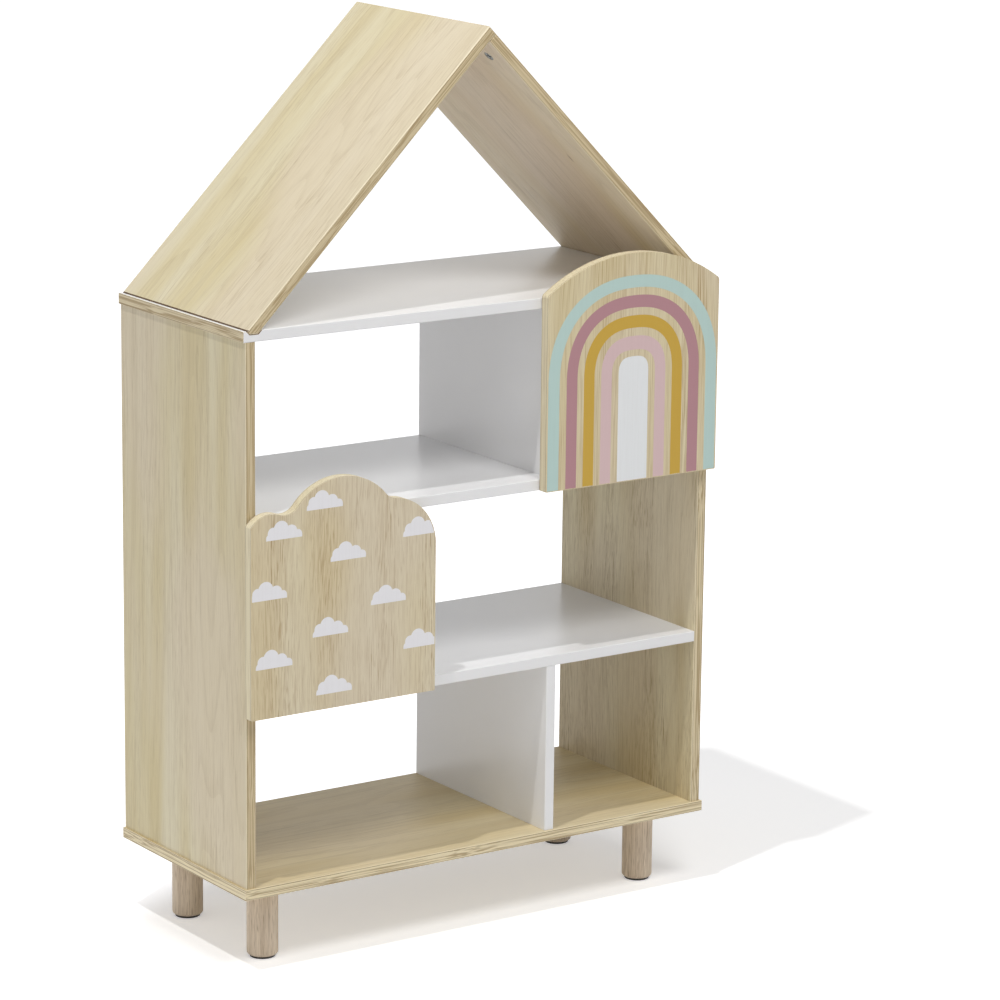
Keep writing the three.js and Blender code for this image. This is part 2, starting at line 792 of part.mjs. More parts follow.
function archOutline() {
  const middle = doorWidth / 2;
  const centre = archRise - archRadius;
  const reach = archRadius - archShoulder;
  const shoulder = centre + Math.sqrt(reach * reach - (middle - archShoulder) ** 2);
  const lean = bearing({ x: middle, y: centre }, { x: doorWidth - archShoulder, y: shoulder });
  const shape = new THREE.Shape();
  shape.moveTo(cornerCut, 0);
  shape.lineTo(doorWidth - cornerCut, 0);
  shape.lineTo(doorWidth, cornerCut);
  shape.absarc(doorWidth - archShoulder, shoulder, archShoulder, 0, lean, false);
  shape.absarc(middle, centre, archRadius, lean, halfTurn - lean, false);
  shape.absarc(archShoulder, shoulder, archShoulder, halfTurn - lean, halfTurn, false);
  shape.lineTo(0, cornerCut);
  return shape;
}

function doorGeometry(shape, side, bottom, heights) {
  const fromEdge = doorOverSide + cupCentre;
  const x = side < 0 ? fromEdge : doorWidth - fromEdge;
  const cuts = heights.map(([, z]) => at(rodY(cupRadius, 2 * cupDepth, cupSides), x, 0, z - bottom));
  return carve(frontedPanel(shape, doorThickness, doorArris, doorSteps), cuts);
}

function bumperGeometry() {
  return turned([
    [0, 0],
    [bumperRadius, 0],
    [bumperRadius, bumperThickness - bumperEdge],
    [bumperRadius - bumperEdge, bumperThickness],
    [0, bumperThickness],
  ], fastenerSides).rotateX(-quarterTurn);
}

function door(label, shape, side, bottom) {
  const rowFloor = bottom + board;
  const heights = hingeHeights(rowFloor);
  const hingeSide = carcassWidth / 2 + doorOverSide;
  const left = side < 0 ? -hingeSide : hingeSide - doorWidth;
  const geometry = doorGeometry(shape, side, bottom, heights);
  place(`${label}_door`, geometry, woodLaminate(), [left, doorBack, bottom]);
  place(`${label}_door_bumper`, bumperGeometry(), clearRubber(),
    [side * dividerPlace, doorBack, rowFloor + rowHeight / 2]);
  const parts = [
    ['hinge_cup', cupGeometry, zincAlloy], ['hinge_link', linkGeometry, platedSteel],
    ['hinge_arm', armGeometry, platedSteel],
  ];
  for (const [height, z] of heights) {
    for (const [part, make, material] of parts) {
      const origin = [side * carcassWidth / 2, carcassFront, z];
      const mesh = place(`${part}_${label}_${height}`, make(), material(), origin);
      if (side > 0) mesh.rotation.y = halfTurn;
    }
  }
}

boxParts();
shelf('lower_shelf', lowerShelfBottom);
shelf('upper_shelf', upperShelfBottom);
dividers();
roof();
topShelf();
legs();
baseScrews();
door('cloud', cloudOutline(), -1, lowerShelfBottom);
door('rainbow', archOutline(), 1, upperShelfBottom);

export default group;
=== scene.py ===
"""Looks of a house-shaped children's bookcase with a cloud door and a rainbow door.

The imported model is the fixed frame: boards take their bores and grooves from it and get
rounded arrises and edge bands here, the doors get their fine outlines and prints, and the
fittings get their finishes.
"""

import logging
import math
from dataclasses import dataclass, replace
from enum import Enum
from functools import cached_property
from typing import Callable, ClassVar

import bmesh
import bpy
from mathutils import Matrix, Vector


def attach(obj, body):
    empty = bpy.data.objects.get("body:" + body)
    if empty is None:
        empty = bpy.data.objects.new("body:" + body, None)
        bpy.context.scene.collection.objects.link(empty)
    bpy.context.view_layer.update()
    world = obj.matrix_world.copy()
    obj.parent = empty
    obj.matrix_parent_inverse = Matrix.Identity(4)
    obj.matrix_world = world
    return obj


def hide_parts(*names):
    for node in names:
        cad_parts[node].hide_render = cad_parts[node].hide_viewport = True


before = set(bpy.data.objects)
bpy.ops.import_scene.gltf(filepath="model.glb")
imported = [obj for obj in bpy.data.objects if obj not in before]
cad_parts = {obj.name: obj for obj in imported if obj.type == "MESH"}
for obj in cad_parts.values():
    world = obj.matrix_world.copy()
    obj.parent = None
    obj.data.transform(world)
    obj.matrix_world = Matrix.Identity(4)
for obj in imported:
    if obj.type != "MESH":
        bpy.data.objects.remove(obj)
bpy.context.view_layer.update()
LOG = logging.getLogger("bookcase")

MM = 0.001
GRAIN = "grain_place"
EDGE = "edge_band"
ARRIS = "eased_arris"

# Sizes shared by several pieces, in millimetres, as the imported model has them
BOARD = 15.0
CARCASS_MIDDLE = 7.75
BASE_MIDDLE = 6.75
DOOR_FRONT = -171.75
DOOR_BACK = -156.75
DOOR_WIDTH = 288.0
HINGE_CENTRE = 356.0
CUP_RADIUS = 17.5
CUP_DEPTH = 11.5

# How far the prints' front lies before the door's, and how thick their ink is, in millimetres
PRINT_PROUD = 0.05
INK = 0.04

# Edges that turn more than this many degrees are sharp
SHARP = 40.0

# How squarely a face looks through its board, from 0 to 1: less is an edge, and more is a flat face
ON_EDGE = 0.05
FLAT = 0.98

# How squarely a face looks along its board, where more is an end
ON_END = 0.99

Point = tuple[float, float]
Place = tuple[float, float, float]
Colour = tuple[float, float, float, float]
Socket = bpy.types.NodeSocket
Tree = bpy.types.NodeTree


def linear(hex_colour: str) -> Colour:
    """Turns an sRGB hex colour to linear light.

    Args:
        hex_colour: the colour as "#rrggbb".

    Returns:
        Red, green, blue and alpha in linear light.
    """
    parts = [int(hex_colour[i : i + 2], 16) / 255 for i in (1, 3, 5)]
    red, green, blue = (
        p / 12.92 if p <= 0.04045 else ((p + 0.055) / 1.055) ** 2.4 for p in parts
    )
    return (red, green, blue, 1.0)


def add(
    tree: Tree, kind: str, inputs: dict | tuple = (), out: int | str | None = 0, **settings: object
) -> Socket | bpy.types.bpy_prop_collection:
    """Adds a node with its settings, values and links.

    Args:
        tree: the node tree that gets it.
        kind: the node's type name, where "ShaderNode" is left out.
        inputs: the first inputs in their order, or a dict by name or number. Each is a value, or the
            output socket that feeds it.
        out: the output that is wanted, or None for all of them.
        settings: properties of the node.

    Returns:
        The output socket, or all of the node's outputs.
    """
    node = tree.nodes.new(kind if "Node" in kind else f"ShaderNode{kind}")
    for name, value in settings.items():
        setattr(node, name, value)
    for key, value in inputs.items() if isinstance(inputs, dict) else enumerate(inputs):
        if isinstance(value, Socket):
            tree.links.new(value, node.inputs[key])
        else:
            node.inputs[key].default_value = value
    return node.outputs if out is None else node.outputs[out]


def blank_material(name: str) -> tuple[bpy.types.Material, Tree]:
    """Makes a material with an empty node tree.

    Args:
        name: the material's name.

    Returns:
        The material and its tree.
    """
    material = bpy.data.materials.new(name)
    material.use_nodes = True
    material.node_tree.nodes.clear()
    return material, material.node_tree


class Along(Enum):
    """Which way a board's grain runs, as its grain, width and thickness directions."""

    WIDTH = ((1, 0, 0), (0, 1, 0), (0, 0, 1))
    HEIGHT = ((0, 0, 1), (0, 1, 0), (1, 0, 0))
    HEIGHT_TURNED = ((0, 0, -1), (0, 1, 0), (1, 0, 0))
    DOOR = ((0, 0, 1), (1, 0, 0), (0, 1, 0))
    LEFT_SLOPE = ((1, 0, 1), (0, 1, 0), (-1, 0, 1))
    RIGHT_SLOPE = ((-1, 0, 1), (0, 1, 0), (1, 0, 1))


@dataclass(frozen=True)
class GrainFrame:
    """Where a board lies, so that its pattern follows it: u along the grain, v across, w through.

    The shift moves the pattern, so that no two boards show the same piece of it. On an end, the
    band's grain runs along the band instead of along the board.
    """

    along: Along
    centre: Place
    shift: Point = (0.0, 0.0)
    on_end: bool = False

    def place(self, point: Vector) -> Vector:
        """The pattern's coordinates of a point, in metres.

        Args:
            point: a point in the part's frame, in metres.

        Returns:
            Its u, v and w.
        """
        offset = point - Vector(self.centre) * MM
        u, v, w = (offset.dot(Vector(axis).normalized()) for axis in self.along.value)
        u, v = u + self.shift[0], v + self.shift[1]
        return Vector((v, u, w) if self.on_end else (u, v, w))

    def facing(self, normal: Vector) -> float:
        """How squarely a face looks through the board's thickness, from 0 to 1."""
        return abs(normal.dot(Vector(self.along.value[2]).normalized()))

    def towards(self, normal: Vector) -> "GrainFrame":
        """The frame for a face: the same, or turned for an end's band."""
        ending = abs(normal.dot(Vector(self.along.value[0]).normalized())) > ON_END
        return replace(self, on_end=True) if ending else self


# What a finish draws: its ground colour, the coats over it, its roughness and its height
Drawn = tuple[str, list[tuple[Socket, str]], Socket | float, Socket]


@dataclass(frozen=True)
class Finish:
    """A finish: coats of colour over a ground, each by its own share, with a roughness and a relief."""

    name: str

    # The relief's strength, and its depth in metres
    relief: ClassVar[Point] = (0.2, 0.0001)

    @property
    def shading(self) -> dict[str, float]:
        """What the shader gets besides."""
        return {"IOR": 1.5}

    def draw(self, tree: Tree) -> Drawn:
        """Draws what the finish consists of."""
        raise NotImplementedError

    def build(self) -> bpy.types.Material:
        """Makes the material.

        Returns:
            The material, with its coats, relief and shader.
        """
        material, tree = blank_material(self.name)
        ground, coats, rough, height = self.draw(tree)
        colour = linear(ground)
        for share, tint in coats:
            colour = add(tree, "Mix", {0: share, 6: colour, 7: linear(tint)}, 2, data_type="RGBA")
        strength, depth = self.relief
        bump = add(tree, "Bump", {"Strength": strength, "Distance": depth, "Height": height})
        given = {"Base Color": colour, "Roughness": rough, "Normal": bump, **self.shading}
        add(tree, "OutputMaterial", (add(tree, "BsdfPrincipled", given),), None)
        return material


@dataclass(frozen=True)
class Laminate(Finish):
    """A sheet laminate on a board, with a band on its edges and a glue line on both sides of a band."""

    seam: str
    seam_from_middle: float
    seam_reach: float
    seam_strength: float

    def glue(self, tree: Tree, through: Socket, edge: Socket) -> Socket:
        """Draws the glue lines.

        Args:
            tree: the material's tree.
            through: the place through the board's thickness, from its middle.
            edge: 1 on an edge.

        Returns:
            How much the line shows.
        """
        above = add(tree, "Math", (through,), operation="ABSOLUTE")
        line = add(tree, "Math", (above, self.seam_from_middle, self.seam_reach), operation="COMPARE")
        on_edge = add(tree, "Math", (line, edge), operation="MULTIPLY")
        return add(tree, "Math", (on_edge, self.seam_strength), operation="MULTIPLY")


@dataclass(frozen=True)
class OakLaminate(Laminate):
    """Oak-look melamine laminate, printed and pressed: matt, with soft bands and fine streaks.

    Bands are about 70 mm wide, growth lines 6 mm, streaks 3.5 mm, fibres 2 mm and pores 1.3 mm,
    which is coarser than a real pore so that it shows. Sheets differ in how long, how fine and how
    strong their marks are, and quiet stretches lie between marked ones.
    """

    name: str = "oak_look_laminate"
    seam: str = "#7d6745"
    seam_from_middle: float = 0.0062
    seam_reach: float = 0.0004
    seam_strength: float = 0.65
    pale: str = "#ded5b8"
    warm: str = "#d1c295"
    blush: str = "#dccfb6"
    band: str = "#cfbe9a"
    dark: str = "#9b835a"
    # The cream is a painted highlight on the eased arrises, where light catches their round
    highlight_cream: str = "#eee3c6"
    knot: str = "#8a6a45"
    roughness: float = 0.5
    bands_per_m: float = 14.0
    lines: float = 26.0
    streaks: Point = (6.0, 280.0)
    fibres: Point = (18.0, 520.0)
    pores: Point = (40.0, 760.0)
    line_strength: float = 0.20
    streak_strength: float = 0.16
    fibre_strength: float = 0.12
    pore_strength: float = 0.22
    quiet: float = 0.45
    edge_strength: float = 0.75
    # How strongly the arrises show the painted highlight
    arris_highlight_strength: float = 0.45

    relief = (0.25, 0.00008)

    def draw(self, tree: Tree) -> Drawn:
        """Draws the laminate on the boards' own grain coordinates.

        Args:
            tree: the material's tree.

        Returns:
            Its ground, coats, roughness and height.
        """
        place = add(tree, "Attribute", out="Vector", attribute_name=GRAIN)
        edge, arris = (add(tree, "Attribute", out="Fac", attribute_name=name) for name in (EDGE, ARRIS))
        along, across, through = add(tree, "SeparateXYZ", (place,), None)

        # The grain wanders to and fro by a few millimetres along a board
        slow = add(tree, "VectorMath", (place, (2.4, 5.0, 5.0)), operation="MULTIPLY")
        sway = add(tree, "TexNoise", {"Vector": slow, "Scale": 1.0, "Detail": 2.0})
        swayed = add(tree, "Math", (sway, 0.030, across), operation="MULTIPLY_ADD")
        grain = add(tree, "CombineXYZ", (along, swayed, through))

        # Each layer is a noise stretched along the grain: how many per metre along and across
        layers: dict[str, Socket] = {}
        for layer, long, wide, detail in (
            ("bands", 1.0, self.bands_per_m, 2.0),
            ("patches", 2.2, 4.5, 1.0),
            ("swell", 0.55, 7.0, 1.0),
            ("figure", 1.7, 17.0, 1.0),
            ("streaks", *self.streaks, 2.0),
            ("fibres", *self.fibres, 2.0),
            ("pores", *self.pores, 1.0),
            ("edge lines", 2.2, 560.0, 2.0),
        ):
            scaled = add(tree, "VectorMath", (grain, (long, wide, wide)), operation="MULTIPLY")
            noise = {"Vector": scaled, "Scale": 1.0, "Detail": detail, "Roughness": 0.55}
            layers[layer] = add(tree, "TexNoise", noise)

        # Growth lines are the contours of a slow noise, so they taper and arch as real ones do
        turns = add(tree, "Math", (layers["swell"], self.lines), operation="MULTIPLY")
        layers["rings"] = add(tree, "Math", (turns,), operation="FRACT")
        shares: dict[str, Socket] = {}
        for layer, *limits in (
            ("bands", 0.30, 0.70, 0.0, 1.0),
            ("patches", 0.42, 0.62, 0.0, 0.8),
            ("rings", 0.62, 0.97, 0.0, self.line_strength),
            ("streaks", 0.42, 0.72, 0.0, self.streak_strength),
            ("fibres", 0.45, 0.70, 0.0, self.fibre_strength),
            ("pores", 0.56, 0.68, 0.0, self.pore_strength),
            ("figure", 0.40, 0.60, self.quiet, 1.0),
            ("edge lines", 0.44, 0.62, 0.0, self.edge_strength),
        ):
            shares[layer] = add(tree, "MapRange", (layers[layer], *limits), interpolation_type="SMOOTHSTEP")
        rings = add(tree, "Math", (shares["rings"], layers["streaks"]), operation="MULTIPLY")
        marks = shares["streaks"]
        for part in ("fibres", "pores"):
            marks = add(tree, "Math", (marks, shares[part]), operation="ADD")
        marked = add(tree, "Math", (marks, shares["figure"], rings), operation="MULTIPLY_ADD")
        # A band on an edge shows only fine lines along its length
        darkest = add(tree, "Mix", {0: edge, 2: marked, 3: shares["edge lines"]}, data_type="FLOAT")

        # A pin knot here and there, about 5 mm wide and 15 mm long
        sparse = add(tree, "VectorMath", (grain, (1.3, 4.0, 4.0)), operation="MULTIPLY")
        away = add(tree, "TexVoronoi", {"Vector": sparse, "Scale": 1.0}, "Distance")
        knot = add(tree, "MapRange", (away, 0.004, 0.014, 0.75, 0.0))
        # The eased arrises get the painted cream highlight, where light catches their round
        wear_and_highlight = add(tree, "Math", (arris, self.arris_highlight_strength), operation="MULTIPLY")
        coats = [
            (shares["bands"], self.pale),
            (shares["patches"], self.blush),
            (edge, self.band),
            (darkest, self.dark),
            (knot, self.knot),
            (self.glue(tree, through, edge), self.seam),
            (wear_and_highlight, self.highlight_cream),
        ]
        low, high = self.roughness - 0.05, self.roughness + 0.06
        rough = add(tree, "MapRange", (layers["fibres"], 0.3, 0.7, low, high))
        height = add(tree, "Math", (layers["fibres"], shares["pores"]), operation="SUBTRACT")
        return self.warm, coats, rough, height


@dataclass(frozen=True)
class WhiteLaminate(Laminate):
    """White melamine laminate: satin, with the faint pebbling of its press plate, 2 mm apart."""

    name: str = "white_laminate"
    seam: str = "#d0d0d0"
    seam_from_middle: float = 0.0066
    seam_reach: float = 0.0002
    seam_strength: float = 0.5
    white: str = "#eeeeef"
    shade: str = "#e8e8ea"
    roughness: float = 0.29
    pebbles_per_m: float = 480.0

    relief = (0.03, 0.00002)

    def draw(self, tree: Tree) -> Drawn:
        """Draws the laminate on the boards' own coordinates.

        Args:
            tree: the material's tree.

        Returns:
            Its ground, coats, roughness and height.
        """
        place = add(tree, "Attribute", out="Vector", attribute_name=GRAIN)
        edge = add(tree, "Attribute", out="Fac", attribute_name=EDGE)
        cloud = add(tree, "TexNoise", {"Vector": place, "Scale": 9.0, "Detail": 2.0})
        pebble = add(tree, "TexNoise", {"Vector": place, "Scale": self.pebbles_per_m, "Detail": 1.0})
        glue = self.glue(tree, add(tree, "SeparateXYZ", (place,), 2), edge)
        rough = add(tree, "MapRange", (pebble, 0.3, 0.7, self.roughness - 0.01, self.roughness + 0.01))
        return self.white, [(cloud, self.shade), (glue, self.seam)], rough, pebble


@dataclass(frozen=True)
class RawBoard(Finish):
    """Cut particle board, as in a milled groove: rough, with chips 2 to 3 mm across."""

    name: str = "raw_particle_board"
    pale: str = "#a98c63"
    dark: str = "#6f563a"
    roughness: float = 0.85
    chips_per_m: float = 420.0

    relief = (0.4, 0.0002)

    def draw(self, tree: Tree) -> Drawn:
        """Draws the chips on the boards' own coordinates.

        Args:
            tree: the material's tree.

        Returns:
            Its ground, coats, roughness and height.
        """
        place = add(tree, "Attribute", out="Vector", attribute_name=GRAIN)
        cells = {"Vector": place, "Scale": self.chips_per_m, "Randomness": 1.0}
        chips = add(tree, "SeparateXYZ", (add(tree, "TexVoronoi", cells, "Color"),))
        return self.pale, [(chips, self.dark)], self.roughness, chips


@dataclass(frozen=True)
class PrintInk(Finish):
    """Opaque ink printed on the laminate: flat colour, with the wood's streaks faint beneath it."""

    name: str
    colour: str
    beneath: str = "#8f7d62"
    roughness: float = 0.45
    showing: float = 0.04

    relief = (0.2, 0.00006)

    @property
    def shading(self) -> dict[str, float]:
        """What the shader gets besides."""
        return {"IOR": 1.49}

    def draw(self, tree: Tree) -> Drawn:
        """Draws the ink on the print's place on the door.

        Args:
            tree: the material's tree.

        Returns:
            Its ground, coats, roughness and height.
        """
        place = add(tree, "TexCoord", out="Object")
        stretched = add(tree, "VectorMath", (place, (360.0, 0.0, 12.0)), operation="MULTIPLY")
        grain = add(tree, "TexNoise", {"Vector": stretched, "Scale": 1.0, "Detail": 3.0})
        share = add(tree, "MapRange", (grain, 0.4, 0.75, 0.0, self.showing))
        return self.colour, [(share, self.beneath)], self.roughness, grain


@dataclass(frozen=True)
class TurnedWood(Finish):
    """Solid beech or rubberwood, turned and matt lacquered: straight grain and short dark flecks.

    Streaks are 1.6 mm wide, and flecks 1 mm wide and 18 mm long.
    """

    name: str = "lacquered_solid_wood"
    pale: str = "#e4d3bd"
    dark: str = "#cbb8a1"
    fleck: str = "#957c60"
    roughness: float = 0.5

    def draw(self, tree: Tree) -> Drawn:
        """Draws the wood on the piece's object coordinates, with the grain along Z.

        Args:
            tree: the material's tree.

        Returns:
            Its ground, coats, roughness and height.
        """
        place = add(tree, "TexCoord", out="Object")
        noises = []
        for wide, long, detail in ((60.0, 1.6, 2.0), (640.0, 10.0, 3.0), (1000.0, 55.0, 1.0)):
            scaled = add(tree, "VectorMath", (place, (wide, wide, long)), operation="MULTIPLY")
            noises.append(add(tree, "TexNoise", {"Vector": scaled, "Scale": 1.0, "Detail": detail}))
        bands, streaks, flecks = noises
        both = add(tree, "Math", (bands, streaks), operation="ADD")
        share = add(tree, "MapRange", (both, 0.78, 1.24, 0.0, 1.0), interpolation_type="SMOOTHSTEP")
        spots = add(tree, "MapRange", (flecks, 0.54, 0.68, 0.0, 0.5))
        return self.pale, [(share, self.dark), (spots, self.fleck)], self.roughness, streaks


@dataclass(frozen=True)
class Moulded(Finish):
    """A moulded plastic or rubber: even colour, with the fine texture of its mould, 0.6 mm apart."""

    name: str
    colour: str
    wear_and_highlight: str
    roughness: float
    ior: float = 1.5
    transmission: float = 0.0

    relief = (0.15, 0.00005)

    @property
    def shading(self) -> dict[str, float]:
        """What the shader gets besides."""
        return {"IOR": self.ior, "Transmission Weight": self.transmission}

    def draw(self, tree: Tree) -> Drawn:
        """Draws the plastic on object coordinates.

        Args:
            tree: the material's tree.

        Returns:
            Its ground, coats, roughness and height.
        """
        place = add(tree, "TexCoord", out="Object")
        grit, haze = (
            add(tree, "TexNoise", {"Vector": place, "Scale": scale, "Detail": 2.0})
            for scale in (1600.0, 120.0)
        )
        return self.colour, [(haze, self.wear_and_highlight)], self.roughness, grit


@dataclass(frozen=True)
class PlatedMetal(Finish):
    """A plated fitting: die-cast zinc or pressed steel under nickel, with faint rub marks."""

    name: str
    bright: str
    dull: str
    roughness: float
    marks_per_m: float

    relief = (0.1, 0.00004)

    @property
    def shading(self) -> dict[str, float]:
        """What the shader gets besides."""
        return {"Metallic": 1.0}

    def draw(self, tree: Tree) -> Drawn:
        """Draws the metal on object coordinates.

        Args:
            tree: the material's tree.

        Returns:
            Its ground, coats, roughness and height.
        """
        place = add(tree, "TexCoord", out="Object")
        marks = add(tree, "TexNoise", {"Vector": place, "Scale": self.marks_per_m, "Detail": 3.0})
        rough = add(tree, "MapRange", (marks, 0.3, 0.7, self.roughness - 0.07, self.roughness + 0.09))
        return self.bright, [(marks, self.dull)], rough, marks


class Look(Enum):
    """The bookcase's finishes. Each becomes a material when a piece first asks for it."""

    OAK = OakLaminate()
    # The base's sheet is warmer and more saturated than the others; part of that is painted shade, for the
    # warm look of the shade inside the box
    WARM_OAK = OakLaminate(
        name="oak_look_laminate_warm", pale="#dccda7", warm="#d0bb8a", blush="#dacaa8", band="#eadcb9"
    )
    # The right roof board's sheet is rosier; part of that is painted shade, for the warm look of the shade
    # under the roof
    ROSY_OAK = OakLaminate(name="oak_look_laminate_rosy", pale="#e0d1b6", warm="#d6c29b", blush="#ddcab2")
    STREAKY_OAK = OakLaminate(
        name="oak_look_laminate_streaky",
        pale="#dcd1b4",
        warm="#d3c39e",
        blush="#d9cdb6",
        band="#e4d9ba",
        dark="#987748",
        streaks=(12.0, 460.0),
        fibres=(22.0, 680.0),
        pores=(40.0, 860.0),
        line_strength=0.06,
        streak_strength=0.24,
        fibre_strength=0.32,
        pore_strength=0.42,
        edge_strength=0.22,
    )
    LINED_OAK = OakLaminate(
        name="oak_look_laminate_lined",
        pale="#ded2b1",
        warm="#d3c49b",
        blush="#dccfb4",
        band="#e4d9ba",
        dark="#997540",
        streaks=(6.0, 520.0),
        fibres=(10.0, 760.0),
        pores=(22.0, 900.0),
        line_strength=0.08,
        streak_strength=0.40,
        fibre_strength=0.38,
        pore_strength=0.32,
        quiet=0.55,
        edge_strength=0.22,
    )
    STRIPED_OAK = OakLaminate(
        name="oak_look_laminate_striped",
        pale="#dbcfad",
        warm="#ccba90",
        blush="#d9cbae",
        band="#dccdab",
        dark="#957b4e",
        streaks=(14.0, 380.0),
        fibres=(30.0, 560.0),
        pores=(55.0, 780.0),
        streak_strength=0.36,
        fibre_strength=0.34,
        pore_strength=0.42,
        quiet=0.35,
    )
    RAW_BOARD = RawBoard()
    # Raw board darkened to stand for the shade in the open joint at the roof's feet: painted shade
    SHADED_BOARD = RawBoard(name="raw_board_in_a_joint", pale="#6a553d", dark="#453527")
    WHITE = WhiteLaminate()
    TURNED = TurnedWood()
    GLIDE = Moulded("black_moulded_polyethylene", "#262320", "#332e29", 0.55)
    RUBBER = Moulded("clear_silicone_rubber", "#e3e7e6", "#d5dad9", 0.35, 1.41, 0.6)
    ZINC = PlatedMetal("plated_zinc_casting", "#c3c4c0", "#a4a5a2", 0.40, 260.0)
    CAST = PlatedMetal("dull_zinc_casting", "#94958f", "#686a66", 0.46, 420.0)
    STEEL = PlatedMetal("nickel_plated_steel", "#d0d1d0", "#b5b7b7", 0.28, 340.0)

    @cached_property
    def material(self) -> bpy.types.Material:
        """The finish's material."""
        return self.value.build()


def finished(piece: bpy.types.Object, body: str, slot: str | None = None, *nodes: str) -> None:
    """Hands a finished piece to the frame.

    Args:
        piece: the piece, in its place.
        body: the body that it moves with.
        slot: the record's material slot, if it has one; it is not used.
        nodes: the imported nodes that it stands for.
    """
    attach(piece, body)
    if nodes:
        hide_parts(*nodes)
    LOG.info("%s rides on %s, %d faces", piece.name, body, len(piece.data.polygons))


def settled(piece: bpy.types.Object) -> bpy.types.Object:
    """Turns a piece with modifiers into a plain mesh.

    Args:
        piece: the piece, whose modifiers are then gone.

    Returns:
        The same piece.
    """
    graph = bpy.context.evaluated_depsgraph_get()
    mesh = bpy.data.meshes.new_from_object(piece.evaluated_get(graph))
    old = piece.data
    piece.modifiers.clear()
    piece.data = mesh
    if old.users == 0:
        bpy.data.meshes.remove(old)
    mesh.name = piece.name
    return piece


def object_of(name: str, build: bmesh.types.BMesh) -> bpy.types.Object:
    """Makes a scene object of a mesh under construction.

    Args:
        name: the piece's name.
        build: the mesh, which is freed.

    Returns:
        The new object, at the origin.
    """
    mesh = bpy.data.meshes.new(name)
    build.to_mesh(mesh)
    build.free()
    piece = bpy.data.objects.new(name, mesh)
    bpy.context.scene.collection.objects.link(piece)
    return piece


def round_arrises(piece: bpy.types.Object, width: float, segments: int, from_angle: float) -> None:
    """Rounds a piece's sharp edges.

    Args:
        piece: the piece.
        width: how far the round reaches on each side, in millimetres.
        segments: the round's steps.
        from_angle: edges that turn more than this many degrees are rounded.
    """
    bevel = piece.modifiers.new("arris", "BEVEL")
    bevel.width = width * MM
    bevel.segments = segments
    bevel.limit_method = "ANGLE"
    bevel.angle_limit = math.radians(from_angle)


def write_grain(mesh: bpy.types.Mesh, frame_of: Callable[[bpy.types.MeshPolygon], GrainFrame]) -> None:
    """Writes each face corner's place in its board's pattern, and whether it is an edge or an arris.

    Args:
        mesh: the board's mesh.
        frame_of: gives the grain frame of a face.
    """
    for name, kind in ((GRAIN, "FLOAT_VECTOR"), (EDGE, "FLOAT"), (ARRIS, "FLOAT")):
        mesh.attributes.new(name, kind, "CORNER")
    places, edges, arrises = (mesh.attributes[name] for name in (GRAIN, EDGE, ARRIS))
    for face in mesh.polygons:
        grain = frame_of(face)
        facing = grain.facing(face.normal)
        for corner in face.loop_indices:
            point = mesh.vertices[mesh.loops[corner].vertex_index].co
            places.data[corner].vector = grain.place(point)
            edges.data[corner].value = float(facing < ON_EDGE)
            arrises.data[corner].value = float(ON_EDGE <= facing <= FLAT)


@dataclass
class BoardPiece:
    """One flat board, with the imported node's cuts and rounded arrises."""

    node: str
    name: str
    grain: GrainFrame
    slot: str
    round_width: float = 0.38
    round_steps: int = 2
    flat_to: float = 0.4
    weld_to: float = 2e-6

    def mark(self, build: bmesh.types.BMesh) -> None:
        """Cuts the faces where two materials meet; a plain board has one."""

    def material_of(self, face: bpy.types.MeshPolygon) -> int:
        """Which of the board's materials a face has."""
        return 0

    def build(self, *looks: Look) -> None:
        """Builds the board from a merged copy of its node.

        Args:
            looks: the board's finishes, in the order that material_of counts them.
        """
        build = bmesh.new()
        build.from_mesh(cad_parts[self.node].data)
        bmesh.ops.remove_doubles(build, verts=build.verts, dist=self.weld_to)
        bmesh.ops.dissolve_limit(
            build,
            angle_limit=math.radians(self.flat_to),
            verts=build.verts,
            edges=build.edges,
            use_dissolve_boundaries=False,
        )
        bmesh.ops.recalc_face_normals(build, faces=build.faces)
        self.mark(build)
        piece = object_of(self.name, build)
        piece.data.materials.clear()
        round_arrises(piece, self.round_width, self.round_steps, SHARP)
        settled(piece)
        for look in looks:
            piece.data.materials.append(look.material)
        for face in piece.data.polygons:
            face.material_index = self.material_of(face)
        write_grain(piece.data, lambda face: self.grain.towards(face.normal))
        finished(piece, "carcass", self.slot, self.node)


@dataclass
class TopShelfPiece(BoardPiece):
    """The white board under the roof, with bands on its ends and raw grooves for the roof's feet."""

    end_from: float = 373.4
    groove_from: float = 349.0
    groove_floor: float = 1.5
    top_margin: float = 0.1
    upward: float = 0.5

    def material_of(self, face: bpy.types.MeshPolygon) -> int:
        """Tells white faces from wood look on the ends' edges and raw board in the grooves.

        Args:
            face: a face of the board.

        Returns:
            The place of its material among the board's.
        """
        out, top = abs(face.center.x), face.center.z - self.grain.centre[2] * MM
        if out > self.end_from * MM:
            return int(face.normal.z < self.upward)
        highest = BOARD / 2 - self.top_margin
        in_groove = out > self.groove_from * MM and self.groove_floor * MM < top < highest * MM
        return 2 if in_groove else 0


@dataclass
class RoofPiece(BoardPiece):
    """A roof board, whose trimmed foot's outer face is raw board darkened with painted shade, a dark joint
    line above the groove.
    """

    foot_to: float = 875.1
    outward: float = 0.3

    def mark(self, build: bmesh.types.BMesh) -> None:
        """Cuts the faces where the trimmed foot ends."""
        everything = [*build.verts, *build.edges, *build.faces]
        bmesh.ops.bisect_plane(build, geom=everything, plane_co=(0, 0, self.foot_to * MM), plane_no=(0, 0, 1))

    def material_of(self, face: bpy.types.MeshPolygon) -> int:
        """Wood look above the foot, and on the foot's outer face raw board darkened as painted shade."""
        return int(face.center.z < self.foot_to * MM and face.normal.z > self.outward)


